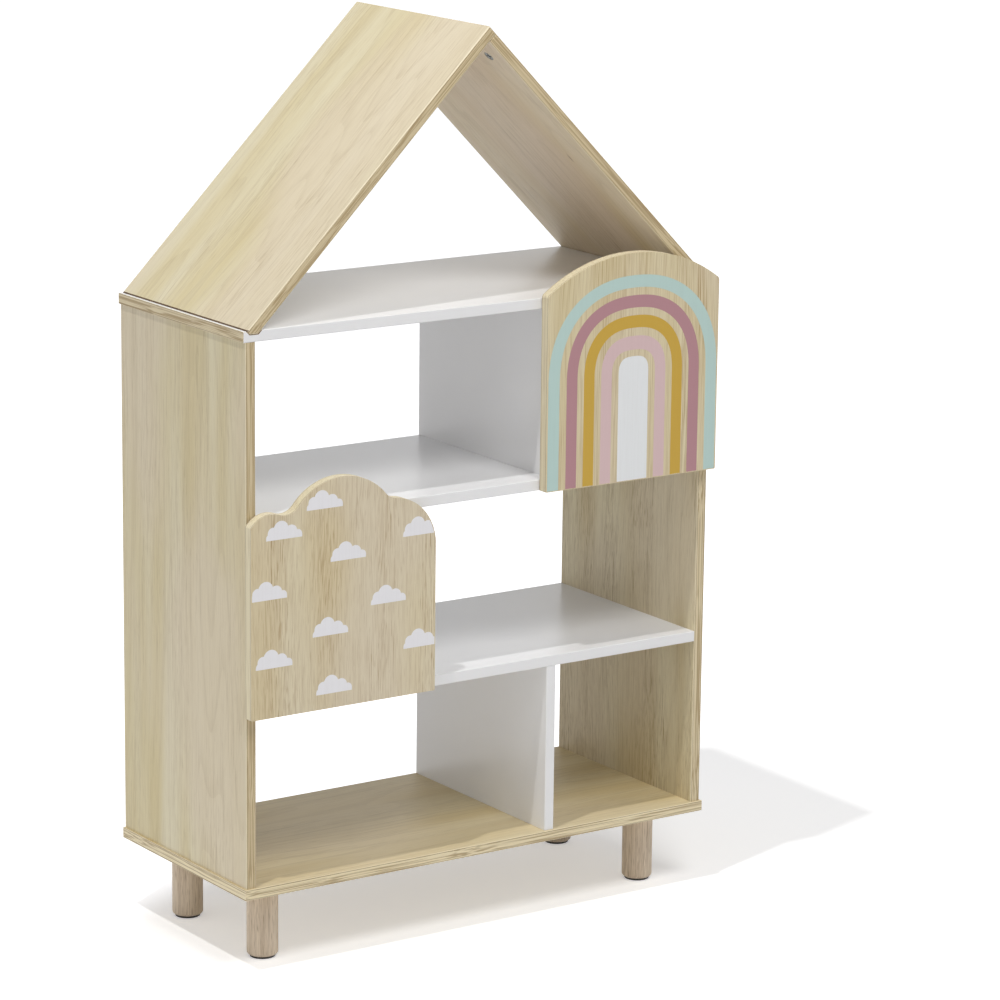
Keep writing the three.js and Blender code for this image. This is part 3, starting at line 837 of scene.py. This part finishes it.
@dataclass
class Carcass:
    """The box: base, sides, shelves and dividers. Heights are those of the boards' middles."""

    side_middle: float = 367.5
    side_height: float = 490.0
    base_height: float = 113.5
    lower_height: float = 364.5
    upper_height: float = 615.5
    top_height: float = 866.5
    divider_place: float = 114.5
    divider_heights: Place = (239.0, 490.0, 741.0)

    def build(self) -> None:
        """Builds all of the box's boards."""
        base = (0.0, BASE_MIDDLE, self.base_height)
        left, right = ((side * self.side_middle, CARCASS_MIDDLE, self.side_height) for side in (-1, 1))
        for node, name, look, along, centre, shift in (
            ("base_panel", "base_board", Look.WARM_OAK, Along.WIDTH, base, (0.3, 1.7)),
            ("side_panel_left", "left_side", Look.OAK, Along.HEIGHT_TURNED, left, (7.4, 4.9)),
            ("side_panel_right", "right_side", Look.STRIPED_OAK, Along.HEIGHT, right, (4.4, 2.9)),
        ):
            BoardPiece(node, name, GrainFrame(along, centre, shift), "wood_laminate").build(look)
        low, middle, high = self.divider_heights
        for node, along, out, height in (
            ("lower_shelf", Along.WIDTH, 0.0, self.lower_height),
            ("upper_shelf", Along.WIDTH, 0.0, self.upper_height),
            ("lower_divider", Along.HEIGHT, self.divider_place, low),
            ("middle_divider", Along.HEIGHT, -self.divider_place, middle),
            ("upper_divider", Along.HEIGHT, self.divider_place, high),
        ):
            grain = GrainFrame(along, (out, CARCASS_MIDDLE, height))
            BoardPiece(node, f"{node}_board", grain, "white_laminate").build(Look.WHITE)
        grain = GrainFrame(Along.WIDTH, (0.0, CARCASS_MIDDLE, self.top_height), (0.9, 0.2))
        top = TopShelfPiece("top_shelf", "top_shelf_board", grain, "white_laminate")
        top.build(Look.WHITE, Look.STRIPED_OAK, Look.RAW_BOARD)


@dataclass
class Roof:
    """The pitched roof: two boards at 45 degrees."""

    half_span: float = 371.5
    foot_height: float = 874.0

    def build(self) -> None:
        """Builds the roof's boards."""
        inward = BOARD / 2 * math.sqrt(0.5)
        for side, label, look, along, shift in (
            (-1, "left", Look.OAK, Along.LEFT_SLOPE, (6.2, 5.1)),
            (1, "right", Look.ROSY_OAK, Along.RIGHT_SLOPE, (8.3, 3.3)),
        ):
            centre = (side * (self.half_span - inward), CARCASS_MIDDLE, self.foot_height - inward)
            grain = GrainFrame(along, centre, shift)
            board = RoofPiece(f"roof_panel_{label}", f"roof_board_{label}", grain, "wood_laminate")
            board.build(look, Look.SHADED_BOARD)


def prism(name: str, points: list[Point], front: float, back: float) -> bpy.types.Object:
    """Makes a solid from an outline in X and Z.

    Args:
        name: the piece's name.
        points: the outline in millimetres, anticlockwise seen from the front.
        front: where its front face lies on Y, in millimetres.
        back: where its back face lies.

    Returns:
        The object.
    """
    build = bmesh.new()
    near = [build.verts.new((x * MM, front * MM, z * MM)) for x, z in points]
    far = [build.verts.new((x * MM, back * MM, z * MM)) for x, z in points]
    build.faces.new(near)
    build.faces.new(list(reversed(far)))
    count = len(points)
    for i in range(count):
        j = (i + 1) % count
        build.faces.new((near[j], near[i], far[i], far[j]))
    bmesh.ops.recalc_face_normals(build, faces=build.faces)
    return object_of(name, build)


def arc(centre: Point, radius: float, start: float, end: float, step: float = 2.5) -> list[Point]:
    """Points along an arc.

    Args:
        centre: its centre.
        radius: its radius, in millimetres.
        start: its first angle, in radians.
        end: its last angle.
        step: the length of each chord, in millimetres.

    Returns:
        The points, both ends among them.
    """
    count = max(2, math.ceil(abs(end - start) * radius / step))
    turns = [start + (end - start) * i / count for i in range(count + 1)]
    return [(centre[0] + radius * math.cos(t), centre[1] + radius * math.sin(t)) for t in turns]


def bearing(start: Point, end: Point) -> float:
    """The angle of the way from one point to another."""
    return math.atan2(end[1] - start[1], end[0] - start[0])


@dataclass
class Door:
    """One shaped door: its board, and the body that it moves with."""

    name: str
    body: str
    node: str
    left: float
    bottom: float
    hinge_x: float
    hinge_heights: Point
    shift: Point
    arris: float = 1.5
    arris_steps: int = 4
    arris_from: float = 60.0
    corner: float = 1.6
    corner_chord: float = 0.6
    cutter_proud: float = 5.0
    look: Look = Look.STREAKY_OAK

    def outline(self) -> list[Point]:
        """The door's outline from its lower left corner."""
        raise NotImplementedError

    def bottom_edge(self) -> list[Point]:
        """Rounds the lower left and lower right corners.

        Returns:
            The points of both, from left to right.
        """
        r, quarter = self.corner, math.pi / 2
        left = arc((r, r), r, 2 * quarter, 3 * quarter, self.corner_chord)
        return left + arc((DOOR_WIDTH - r, r), r, -quarter, 0, self.corner_chord)

    def build(self) -> None:
        """Builds the door's board with its cup bores."""
        points = [(self.left + x, self.bottom + z) for x, z in self.outline()]
        board = prism(self.name, points, DOOR_FRONT, DOOR_BACK)
        cutters = []
        for height in self.hinge_heights:
            circle = arc((self.hinge_x, height), CUP_RADIUS, 0, 2 * math.pi)[:-1]
            cutter = prism("bore", circle, DOOR_BACK - CUP_DEPTH, DOOR_BACK + self.cutter_proud)
            cut = board.modifiers.new("cup bore", "BOOLEAN")
            cut.operation = "DIFFERENCE"
            cut.solver = "EXACT"
            cut.object = cutter
            cutters.append(cutter)
        settled(board)
        for cutter in cutters:
            bpy.data.objects.remove(cutter)
        round_arrises(board, self.arris, self.arris_steps, self.arris_from)
        settled(board)
        board.data.materials.clear()
        board.data.materials.append(self.look.material)
        half = DOOR_WIDTH / 2
        middle = (self.left + half, (DOOR_FRONT + DOOR_BACK) / 2, self.bottom + half)
        grain = GrainFrame(Along.DOOR, middle, self.shift)
        write_grain(board.data, lambda face: grain)
        finished(board, self.body, "wood_laminate", self.node)


@dataclass
class CloudDoor(Door):
    """The cloud-shaped door: three lobes, with rounded valleys between them."""

    name: str = "cloud_door_board"
    body: str = "cloud_door_leaf"
    node: str = "cloud_door"
    left: float = -377.0
    bottom: float = 357.0
    hinge_x: float = -HINGE_CENTRE
    hinge_heights: Point = (422.0, 558.0)
    shift: Point = (10.1, 7.6)
    lobes: tuple[Place, ...] = (
        (30.3, 238.5, 36.9),
        (140.8, 224.0, 88.9),
        (217.5, 203.5, 70.5),
    )
    valley: float = 25.0

    def valley_centre(self, left: Place, right: Place) -> Point:
        """Where the round between two lobes has its centre.

        Args:
            left: the left lobe's place and radius.
            right: the right lobe's.

        Returns:
            The centre.
        """
        to_left, to_right = left[2] + self.valley, right[2] + self.valley
        apart = math.dist(left[:2], right[:2])
        along = (to_left**2 - to_right**2 + apart**2) / (2 * apart)
        above = math.sqrt(to_left**2 - along**2)
        ex, ey = (right[0] - left[0]) / apart, (right[1] - left[1]) / apart
        return (left[0] + along * ex - above * ey, left[1] + along * ey + above * ex)

    def outline(self) -> list[Point]:
        """The cloud's outline.

        Returns:
            Its points from the lower left corner, anticlockwise.
        """
        first, _, last = self.lobes
        edge = (0.0, first[1] + math.sqrt(first[2] ** 2 - first[0] ** 2))
        top: list[Point] = []
        turn = bearing(first[:2], edge)
        for lobe, following in zip(self.lobes, self.lobes[1:]):
            centre = self.valley_centre(lobe, following)
            end = bearing(lobe[:2], centre)
            top += arc(lobe[:2], lobe[2], turn, end)
            low = bearing(centre, lobe[:2])
            high = bearing(centre, following[:2])
            top += arc(centre, self.valley, low, high)[1:-1]
            turn = bearing(following[:2], centre)
        top += arc(last[:2], last[2], turn, 0.0)
        return self.bottom_edge() + list(reversed(top))


@dataclass
class RainbowDoor(Door):
    """The arched door."""

    name: str = "rainbow_door_board"
    body: str = "rainbow_door_leaf"
    node: str = "rainbow_door"
    left: float = 89.0
    bottom: float = 608.0
    hinge_x: float = HINGE_CENTRE
    hinge_heights: Point = (673.0, 809.0)
    shift: Point = (13.7, 9.2)
    arch_radius: float = 242.0
    rise: float = 317.8
    shoulder_radius: float = 6.0
    shoulder_chord: float = 1.0
    look: Look = Look.LINED_OAK

    def outline(self) -> list[Point]:
        """The arch's outline.

        Returns:
            Its points from the lower left corner, anticlockwise.
        """
        middle, centre, r = DOOR_WIDTH / 2, self.rise - self.arch_radius, self.shoulder_radius
        reach = self.arch_radius - r
        shoulder = centre + math.sqrt(reach**2 - (middle - r) ** 2)
        lean = bearing((middle, centre), (DOOR_WIDTH - r, shoulder))
        return (
            self.bottom_edge()
            + arc((DOOR_WIDTH - r, shoulder), r, 0.0, lean, self.shoulder_chord)
            + arc((middle, centre), self.arch_radius, lean, math.pi - lean)[1:-1]
            + arc((r, shoulder), r, math.pi - lean, math.pi, self.shoulder_chord)
        )


def grown(name: str, tree: Tree, values: dict[str, object]) -> bpy.types.Object:
    """Runs a geometry tree and keeps its result as a plain mesh.

    Args:
        name: the piece's name.
        tree: the geometry tree.
        values: the tree's named inputs and their values.

    Returns:
        The piece.
    """
    piece = object_of(name, bmesh.new())
    grower = piece.modifiers.new("grow", "NODES")
    grower.node_group = tree
    for item in tree.interface.items_tree:
        if item.item_type == "SOCKET" and item.in_out == "INPUT" and item.name in values:
            grower[item.identifier] = values[item.name]
    return settled(piece)


def new_geometry_tree(name: str, inputs: dict[str, str]) -> Tree:
    """Makes a geometry tree with named inputs and one geometry output.

    Args:
        name: the tree's name.
        inputs: input name to its kind of socket.

    Returns:
        The tree, without nodes.
    """
    tree = bpy.data.node_groups.new(name, "GeometryNodeTree")
    for label, kind in inputs.items():
        tree.interface.new_socket(label, in_out="INPUT", socket_type=f"NodeSocket{kind}")
    tree.interface.new_socket("Geometry", in_out="OUTPUT", socket_type="NodeSocketGeometry")
    return tree


def end_tree(tree: Tree, shape: Socket, finish: Socket) -> None:
    """Ends a geometry tree: welds the shape, makes it real and gives it its finish.

    Args:
        tree: the tree.
        shape: its geometry.
        finish: the material.
    """
    welded = add(tree, "GeometryNodeMergeByDistance", {"Geometry": shape, "Distance": 1e-6})
    real = add(tree, "GeometryNodeRealizeInstances", (welded,))
    dressed = add(tree, "GeometryNodeSetMaterial", {"Geometry": real, "Material": finish})
    add(tree, "NodeGroupOutput", (dressed,), None)


@dataclass
class RainbowPrint:
    """The printed rainbow: five arched stripes round one centre, all by one rule."""

    centre_x: float = 232.9
    centre_z: float = 756.0
    foot: float = 609.3
    steps: int = 140
    leg_share: float = 0.1
    power: float = 2.0
    fuller_by: float = 0.036
    fuller_room: float = 0.008
    stripes: tuple[tuple[str, Point, Point, str], ...] = (
        ("teal", (141.8, 138.8), (123.3, 121.7), "#b8d1cc"),
        ("mauve", (111.6, 111.1), (93.9, 93.9), "#b1838a"),
        ("mustard", (82.8, 83.3), (65.4, 66.1), "#c7a139"),
        ("pink", (54.2, 54.8), (36.4, 35.6), "#d6babb"),
        ("white", (25.1, 26.5), (0.02, 0.02), "#e9ebed"),
    )

    def tree(self) -> Tree:
        """The stripe's geometry tree: a grid bent round the arch and down its two legs.

        Returns:
            The tree.
        """
        tree = new_geometry_tree(
            "arch_stripe",
            {
                "Outer half width": "Float",
                "Outer height": "Float",
                "Inner half width": "Float",
                "Inner height": "Float",
                "Leg length": "Float",
                "Centre": "Vector",
                "Steps": "Int",
                "Finish": "Material",
            },
        )
        given = add(tree, "NodeGroupInput", out=None)
        rows = {"Size X": 1.0, "Size Y": 1.0, "Vertices X": given["Steps"], "Vertices Y": 2}
        grid = add(tree, "GeometryNodeMeshGrid", rows)
        along, across, _ = add(tree, "SeparateXYZ", (add(tree, "GeometryNodeInputPosition"),), None)
        # The way along the stripe from 0 to 1, whose first and last shares are the legs
        way = add(tree, "Math", (along, 0.5), operation="ADD")
        first, last = self.leg_share, 1.0 - self.leg_share
        turn, before, after = (
            add(tree, "MapRange", (way, *limits))
            for limits in ((first, last, math.pi, 0.0), (0.0, first, 1.0, 0.0), (last, 1.0, 0.0, 1.0))
        )
        leg = add(tree, "Math", (before, after), operation="ADD")
        drop = add(tree, "Math", (leg, given["Leg length"]), operation="MULTIPLY")
        cosine, sine = (add(tree, "Math", (turn,), operation=part) for part in ("COSINE", "SINE"))
        half, height = (
            add(tree, "MapRange", (across, -0.5, 0.5, given[f"Inner {size}"], given[f"Outer {size}"]))
            for size in ("half width", "height")
        )
        # A superellipse, whose shoulders are fuller the smaller it is
        room = add(tree, "Math", (half, self.fuller_room), operation="ADD")
        fuller = add(tree, "Math", (self.fuller_by, room), operation="DIVIDE")
        power = add(tree, "Math", (fuller, self.power), operation="ADD")
        terms = []
        for part, size in ((cosine, half), (sine, height)):
            share = add(tree, "Math", (part, size), operation="DIVIDE")
            positive = add(tree, "Math", (share,), operation="ABSOLUTE")
            terms.append(add(tree, "Math", (positive, power), operation="POWER"))
        total = add(tree, "Math", tuple(terms), operation="ADD")
        root = add(tree, "Math", (-1.0, power), operation="DIVIDE")
        radius = add(tree, "Math", (total, root), operation="POWER")
        x, up = (add(tree, "Math", (part, radius), operation="MULTIPLY") for part in (cosine, sine))
        z = add(tree, "Math", (up, drop), operation="SUBTRACT")
        flat = add(tree, "CombineXYZ", {0: x, 2: z})
        put = add(tree, "VectorMath", (flat, given["Centre"]), operation="ADD")
        bent = add(tree, "GeometryNodeSetPosition", {"Geometry": grid, "Position": put})
        end_tree(tree, bent, given["Finish"])
        return tree

    def build(self) -> None:
        """Builds the five stripes."""
        tree = self.tree()
        for label, outer, inner, colour in self.stripes:
            values = {
                "Outer half width": outer[0] * MM,
                "Outer height": outer[1] * MM,
                "Inner half width": inner[0] * MM,
                "Inner height": inner[1] * MM,
                "Leg length": (self.centre_z - self.foot) * MM,
                "Centre": (self.centre_x * MM, (DOOR_FRONT - PRINT_PROUD) * MM, self.centre_z * MM),
                "Steps": self.steps,
                "Finish": PrintInk(f"printed_ink_{label}", colour).build(),
            }
            finished(inked(grown(f"rainbow_print_{label}", tree, values)), "rainbow_door_leaf")


def inked(piece: bpy.types.Object) -> bpy.types.Object:
    """Turns a flat print's faces to the front and gives the ink its thickness.

    Args:
        piece: the print.

    Returns:
        The print, now a closed film.
    """
    build = bmesh.new()
    build.from_mesh(piece.data)
    build.normal_update()
    backward = [f for f in build.faces if f.normal.y > 0]
    bmesh.ops.reverse_faces(build, faces=backward)
    build.to_mesh(piece.data)
    build.free()
    film = piece.modifiers.new("film", "SOLIDIFY")
    film.thickness = INK * MM
    film.offset = -1.0
    return settled(piece)


@dataclass
class CloudPrint:
    """The small printed clouds, one shape set down ten times and cut off at the door's edge."""

    bumps: tuple[Place, ...] = (
        (4.9, 3.4, 4.9),
        (10.6, 9.4, 8.1),
        (23.0, 13.8, 11.4),
        (38.5, 8.8, 9.4),
        (48.9, 4.2, 6.6),
    )
    width: float = 55.5
    inset: float = 1.3
    middle: Point = (27.1, 11.2)
    places: tuple[Point, ...] = (
        (-264.8, 641.4),
        (-327.2, 608.2),
        (-114.2, 587.2),
        (-228.1, 567.9),
        (-350.7, 529.1),
        (-164.9, 500.3),
        (-255.7, 468.7),
        (-112.7, 432.8),
        (-342.6, 436.3),
        (-249.8, 388.8),
    )
    steps: int = 140
    seed: int = 4
    size_range: Point = (0.99, 1.01)
    end_gap: float = 1e-6
    weld_to: float = 1e-7

    def top(self, x: float) -> float:
        """How high the cloud is at a place along its flat foot."""
        arcs = ((x - middle, z, r) for middle, z, r in self.bumps)
        return max([0.0, *(z + math.sqrt(r * r - off**2) for off, z, r in arcs if abs(off) <= r)])

    def master(self) -> bpy.types.Object:
        """Makes one cloud as strips from foot to top.

        Returns:
            A helper object, which the geometry tree sets down.
        """
        build = bmesh.new()
        rows = []
        for i in range(self.steps + 1):
            x = self.width * i / self.steps
            top = self.top(min(x, self.width - self.end_gap))
            spots = [(x - self.middle[0], z - self.middle[1]) for z in (0.0, top / 2, top)]
            rows.append([build.verts.new((right * MM, 0.0, up * MM)) for right, up in spots])
        for left, right in zip(rows, rows[1:]):
            for low in (0, 1):
                build.faces.new((left[low], right[low], right[low + 1], left[low + 1]))
        bmesh.ops.remove_doubles(build, verts=build.verts, dist=self.weld_to)
        return object_of("cloud_master", build)

    def tree(self, master: bpy.types.Object) -> Tree:
        """The clouds' geometry tree: instances on points, held back to the door's edges.

        Args:
            master: the cloud that is set down.

        Returns:
            The tree.
        """
        tree = new_geometry_tree(
            "small_clouds",
            {
                "Points": "Object",
                "Edge centre X": "Float",
                "Edge centre Z": "Float",
                "Edge radius": "Float",
                "Left edge": "Float",
                "Seed": "Int",
                "Finish": "Material",
            },
        )
        given = add(tree, "NodeGroupInput", out=None)
        kind, whole = "GeometryNodeObjectInfo", {"Object": master, "As Instance": True}
        points = add(tree, kind, {"Object": given["Points"]}, "Geometry", transform_space="RELATIVE")
        cloud = add(tree, kind, whole, "Geometry")
        # Hand-set prints vary in size by a hundredth
        least, most = self.size_range
        spread = {2: least, 3: most, "Seed": given["Seed"]}
        size = add(tree, "FunctionNodeRandomValue", spread, 1, data_type="FLOAT")
        scale = add(tree, "CombineXYZ", (size, 1.0, size))
        setting = {"Points": points, "Instance": cloud, "Scale": scale}
        set_down = add(tree, "GeometryNodeInstanceOnPoints", setting)
        real = add(tree, "GeometryNodeRealizeInstances", (set_down,))
        x, y, z = add(tree, "SeparateXYZ", (add(tree, "GeometryNodeInputPosition"),), None)
        # The right edge is straight up to the lobe's middle, and round above it
        above = add(tree, "Math", (z, given["Edge centre Z"]), operation="SUBTRACT")
        over = add(tree, "Math", (above, 0.0), operation="MAXIMUM")
        over2, reach2 = (
            add(tree, "Math", (side, side), operation="MULTIPLY") for side in (over, given["Edge radius"])
        )
        left2 = add(tree, "Math", (reach2, over2), operation="SUBTRACT")
        kept = add(tree, "Math", (left2, 0.0), operation="MAXIMUM")
        half = add(tree, "Math", (kept,), operation="SQRT")
        edge = add(tree, "Math", (given["Edge centre X"], half), operation="ADD")
        inside = add(tree, "Math", (x, edge), operation="MINIMUM")
        held = add(tree, "Math", (inside, given["Left edge"]), operation="MAXIMUM")
        moved = add(tree, "CombineXYZ", (held, y, z))
        shape = add(tree, "GeometryNodeSetPosition", {"Geometry": real, "Position": moved})
        end_tree(tree, shape, given["Finish"])
        return tree

    def build(self) -> None:
        """Builds all the small clouds as one print."""
        door = CloudDoor()
        x, z, radius = door.lobes[-1]
        master = self.master()
        dots = bmesh.new()
        for right, up in self.places:
            dots.verts.new((right * MM, (DOOR_FRONT - PRINT_PROUD) * MM, up * MM))
        points = object_of("cloud_points", dots)
        values = {
            "Points": points,
            "Edge centre X": (door.left + x) * MM,
            "Edge centre Z": (door.bottom + z) * MM,
            "Edge radius": (radius - self.inset) * MM,
            "Left edge": (door.left + self.inset) * MM,
            "Seed": self.seed,
            "Finish": PrintInk("printed_ink_cloud_white", "#ebeaee").build(),
        }
        made = grown("cloud_print_white", self.tree(master), values)
        for helper in (master, points):
            bpy.data.objects.remove(helper)
        finished(inked(made), "cloud_door_leaf")


@dataclass
class Legs:
    """The four turned legs on their glides."""

    radius: float = 21.5
    bottom: float = 3.0
    top: float = 106.0
    edge_radius: float = 4.5
    edge_steps: int = 8
    ring_height: float = 40.0
    chamfer: float = 0.6
    sides: int = 96
    glide_radius: float = 17.5
    glide_edge: float = 0.8
    places: tuple[tuple[str, float, float], ...] = (
        ("front_left", -313.0, -93.25),
        ("front_right", 313.0, -93.25),
        ("rear_left", -313.0, 106.75),
        ("rear_right", 313.0, 106.75),
    )

    def leg_profile(self) -> list[Point]:
        """The leg's profile from its underside to its top.

        Returns:
            Its radius and height pairs.
        """
        r, e, c = self.radius, self.edge_radius, self.chamfer
        turns = [math.pi / 2 * i / self.edge_steps for i in range(self.edge_steps + 1)]
        foot = [(r - e + e * math.sin(turn), self.bottom + e - e * math.cos(turn)) for turn in turns]
        return [*foot, (r, self.ring_height), (r, self.top - c), (r - c, self.top)]

    def glide_profile(self) -> list[Point]:
        """The glide's profile from the floor to the leg."""
        r, e = self.glide_radius, self.glide_edge
        return [(r - e, 0.0), (r - 0.3 * e, 0.25 * e), (r, e), (r, self.bottom)]

    def turned(self, name: str, profile: list[Point], x: float, y: float) -> bpy.types.Object:
        """Turns a profile about an upright axis.

        Args:
            name: the piece's name.
            profile: its radius and height pairs, upwards.
            x: the axis's place, in millimetres.
            y: the same on Y.

        Returns:
            The piece, closed at both ends.
        """
        build = bmesh.new()
        turns = [2 * math.pi * i / self.sides for i in range(self.sides)]
        rings = []
        for radius, height in profile:
            spots = [(x + radius * math.cos(turn), y + radius * math.sin(turn)) for turn in turns]
            rings.append([build.verts.new((across * MM, deep * MM, height * MM)) for across, deep in spots])
        for low, high in zip(rings, rings[1:]):
            for i in range(self.sides):
                j = (i + 1) % self.sides
                build.faces.new((low[i], low[j], high[j], high[i]))
        build.faces.new(list(reversed(rings[0])))
        build.faces.new(rings[-1])
        for face in build.faces:
            face.smooth = len(face.verts) == 4
        piece = object_of(name, build)
        piece.data.set_sharp_from_angle(angle=math.radians(SHARP))
        return piece

    def build(self) -> None:
        """Builds legs and glides."""
        for corner, x, y in self.places:
            for name, node, profile, look, slot in (
                ("turned_leg", "leg", self.leg_profile(), Look.TURNED, "solid_wood"),
                ("floor_glide", "glide", self.glide_profile(), Look.GLIDE, "black_plastic"),
            ):
                piece = self.turned(f"{name}_{corner}", profile, x, y)
                piece.data.materials.append(look.material)
                finished(piece, "carcass", slot, f"{node}_{corner}")


@dataclass
class Fittings:
    """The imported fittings, which keep their shape and get their finish by what their names hold."""

    rules: tuple[tuple[Look, tuple[str, ...]], ...] = (
        (Look.CAST, ("_cam_", "ridge_cam")),
        (Look.ZINC, ("hinge_cup",)),
        (Look.STEEL, ("ridge_bolt", "hinge_link", "hinge_arm", "base_screw", "hanger_bolt")),
        (Look.TURNED, ("roof_dowel",)),
        (Look.RUBBER, ("bumper",)),
    )

    def dress(self) -> None:
        """Gives each packed fitting its finish."""
        count = 0
        for name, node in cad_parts.items():
            for look, words in self.rules:
                if any(word in name for word in words):
                    node.data.materials.clear()
                    node.data.materials.append(look.material)
                    count += 1
                    break
        LOG.info("%d packed fittings dressed", count)


@dataclass
class Studio:
    """The camera at the photograph's angle, the floor, and plain lamps."""

    lens: float = 151.98
    sensor: float = 36.0
    eye: Place = (-3122.1, -4734.75, 1906.1)
    yaw: float = -34.5
    pitch: float = 13.2
    roll: float = 0.68
    clip: Point = (0.1, 200.0)
    lights: tuple[tuple[str, Place, float, float], ...] = (
        ("key_lamp", (-1900.0, -900.0, 5600.0), 140.0, 99.0),
        ("softbox", (-200.0, -2300.0, 4000.0), 1500.0, 66.0),
    )
    lamp_colour: Place = (1.0, 0.995, 0.98)
    aimed_at: Place = (0.0, 0.0, 0.55)
    from_left: float = 0.80
    from_right: float = 0.45
    from_front: float = 0.34
    from_behind: float = 0.45
    from_above: float = 0.14
    floor_reach: float = 60.0

    # The ellipse that holds the shadow has its middle and half lengths in metres, its turn in radians.
    # The floor's light grows outwards, between two distances in ellipse sizes and two strengths
    shadow_middle: Place = (0.30, 0.03, 0.0)
    shadow_turn: Place = (0.0, 0.0, 0.244)
    shadow_reach: Place = (0.85, 0.30, 1.0)
    fade: Point = (1.06, 1.36)
    glow: Point = (0.37, 0.80)

    def camera(self) -> None:
        """Sets the camera."""
        yaw, pitch, roll = (math.radians(a) for a in (self.yaw, self.pitch, self.roll))
        ahead = Vector((-math.sin(yaw) * math.cos(pitch), math.cos(yaw) * math.cos(pitch), -math.sin(pitch)))
        level = Vector((math.cos(yaw), math.sin(yaw), 0))
        upright = level.cross(ahead)
        right = level * math.cos(roll) + upright * math.sin(roll)
        up = upright * math.cos(roll) - level * math.sin(roll)
        data = bpy.data.cameras.new("camera")
        data.lens = self.lens
        data.sensor_width = self.sensor
        data.clip_start, data.clip_end = self.clip
        camera = bpy.data.objects.new("camera", data)
        turn = Matrix((right, up, -ahead)).transposed().to_4x4()
        camera.matrix_world = Matrix.Translation(Vector(self.eye) * MM) @ turn
        bpy.context.scene.collection.objects.link(camera)
        bpy.context.scene.camera = camera

    @staticmethod
    def seen(tree: Tree) -> Socket:
        """Tells the rays that see a thing from those that light it.

        Args:
            tree: the tree that asks.

        Returns:
            1 for the camera's ray, a mirrored one and one through glass, otherwise 0.
        """
        rays = add(tree, "LightPath", out=None)
        eyes = add(tree, "Math", (rays["Is Camera Ray"], rays["Is Glossy Ray"]), operation="MAXIMUM")
        return add(tree, "Math", (eyes, rays["Is Transmission Ray"]), operation="MAXIMUM")

    def floor(self) -> None:
        """Lays the floor: pale, and white to the camera but for the bookcase's shadow."""
        reach = self.floor_reach
        build = bmesh.new()
        corners = ((-1, -1), (1, -1), (1, 1), (-1, 1))
        build.faces.new([build.verts.new((x * reach, y * reach, 0)) for x, y in corners])
        floor = object_of("studio_floor", build)
        material, tree = blank_material("white_floor")
        # How far out a place lies in an ellipse round the shadow, whose rim is at 1
        place = add(tree, "TexCoord", out="Object")
        ellipse = (place, self.shadow_middle, self.shadow_turn, self.shadow_reach)
        within = add(tree, "Mapping", ellipse, vector_type="TEXTURE")
        away = add(tree, "VectorMath", (within,), "Value", operation="LENGTH")
        lift = add(tree, "MapRange", (away, *self.fade, *self.glow), interpolation_type="SMOOTHSTEP")
        strength = add(tree, "Math", (lift, self.seen(tree)), operation="MULTIPLY")
        paint = add(tree, "BsdfDiffuse", {"Color": linear("#f6f6f6")})
        light = add(tree, "Emission", {"Color": linear("#fcfcff"), "Strength": strength})
        add(tree, "OutputMaterial", (add(tree, "AddShader", (paint, light)),), None)
        floor.data.materials.append(material)

    def lamps(self) -> None:
        """Hangs the key lamp and the softbox, and sets the even light round the bookcase."""
        for name, hung, size, watts in self.lights:
            data = bpy.data.lights.new(name, "AREA")
            data.shape = "DISK"
            data.size = size * MM
            data.energy = watts
            data.color = self.lamp_colour
            lamp = bpy.data.objects.new(name, data)
            place = Vector(hung) * MM
            turn = (Vector(self.aimed_at) - place).to_track_quat("-Z", "Y").to_matrix().to_4x4()
            lamp.matrix_world = Matrix.Translation(place) @ turn
            bpy.context.scene.collection.objects.link(lamp)
        world = bpy.data.worlds.new("studio")
        world.use_nodes = True
        tree = world.node_tree
        tree.nodes.clear()
        # The room is brightest on the left and darkest above, and the floor hides it below
        way = add(tree, "TexCoord", out="Generated")
        shares = []
        for limit, strengths in (
            ("MAXIMUM", (self.from_right, self.from_behind, self.from_above)),
            ("MINIMUM", (self.from_left, self.from_front, 0.0)),
        ):
            half = add(tree, "VectorMath", (way, (0.0, 0.0, 0.0)), operation=limit)
            square = add(tree, "VectorMath", (half, half), operation="MULTIPLY")
            shares.append(add(tree, "VectorMath", (square, strengths), "Value", operation="DOT_PRODUCT"))
        soft = add(tree, "Math", tuple(shares), operation="ADD")
        strength = add(tree, "MapRange", (self.seen(tree), 0.0, 1.0, soft, 1.0))
        sky = add(tree, "Background", {"Color": linear("#ffffff"), "Strength": strength})
        add(tree, "OutputWorld", (sky,), None)
        bpy.context.scene.world = world
        bpy.context.scene.view_settings.view_transform = "Standard"

    def build(self) -> None:
        """Sets camera, floor and lamps."""
        self.camera()
        self.floor()
        self.lamps()


def main() -> None:
    """Builds the bookcase's looks and the studio round it."""
    logging.basicConfig(level=logging.INFO, format="%(message)s")
    Studio().build()
    for part in (Carcass(), Roof(), CloudDoor(), RainbowDoor(), RainbowPrint(), CloudPrint(), Legs()):
        part.build()
    Fittings().dress()


if __name__ == "__main__":
    main()
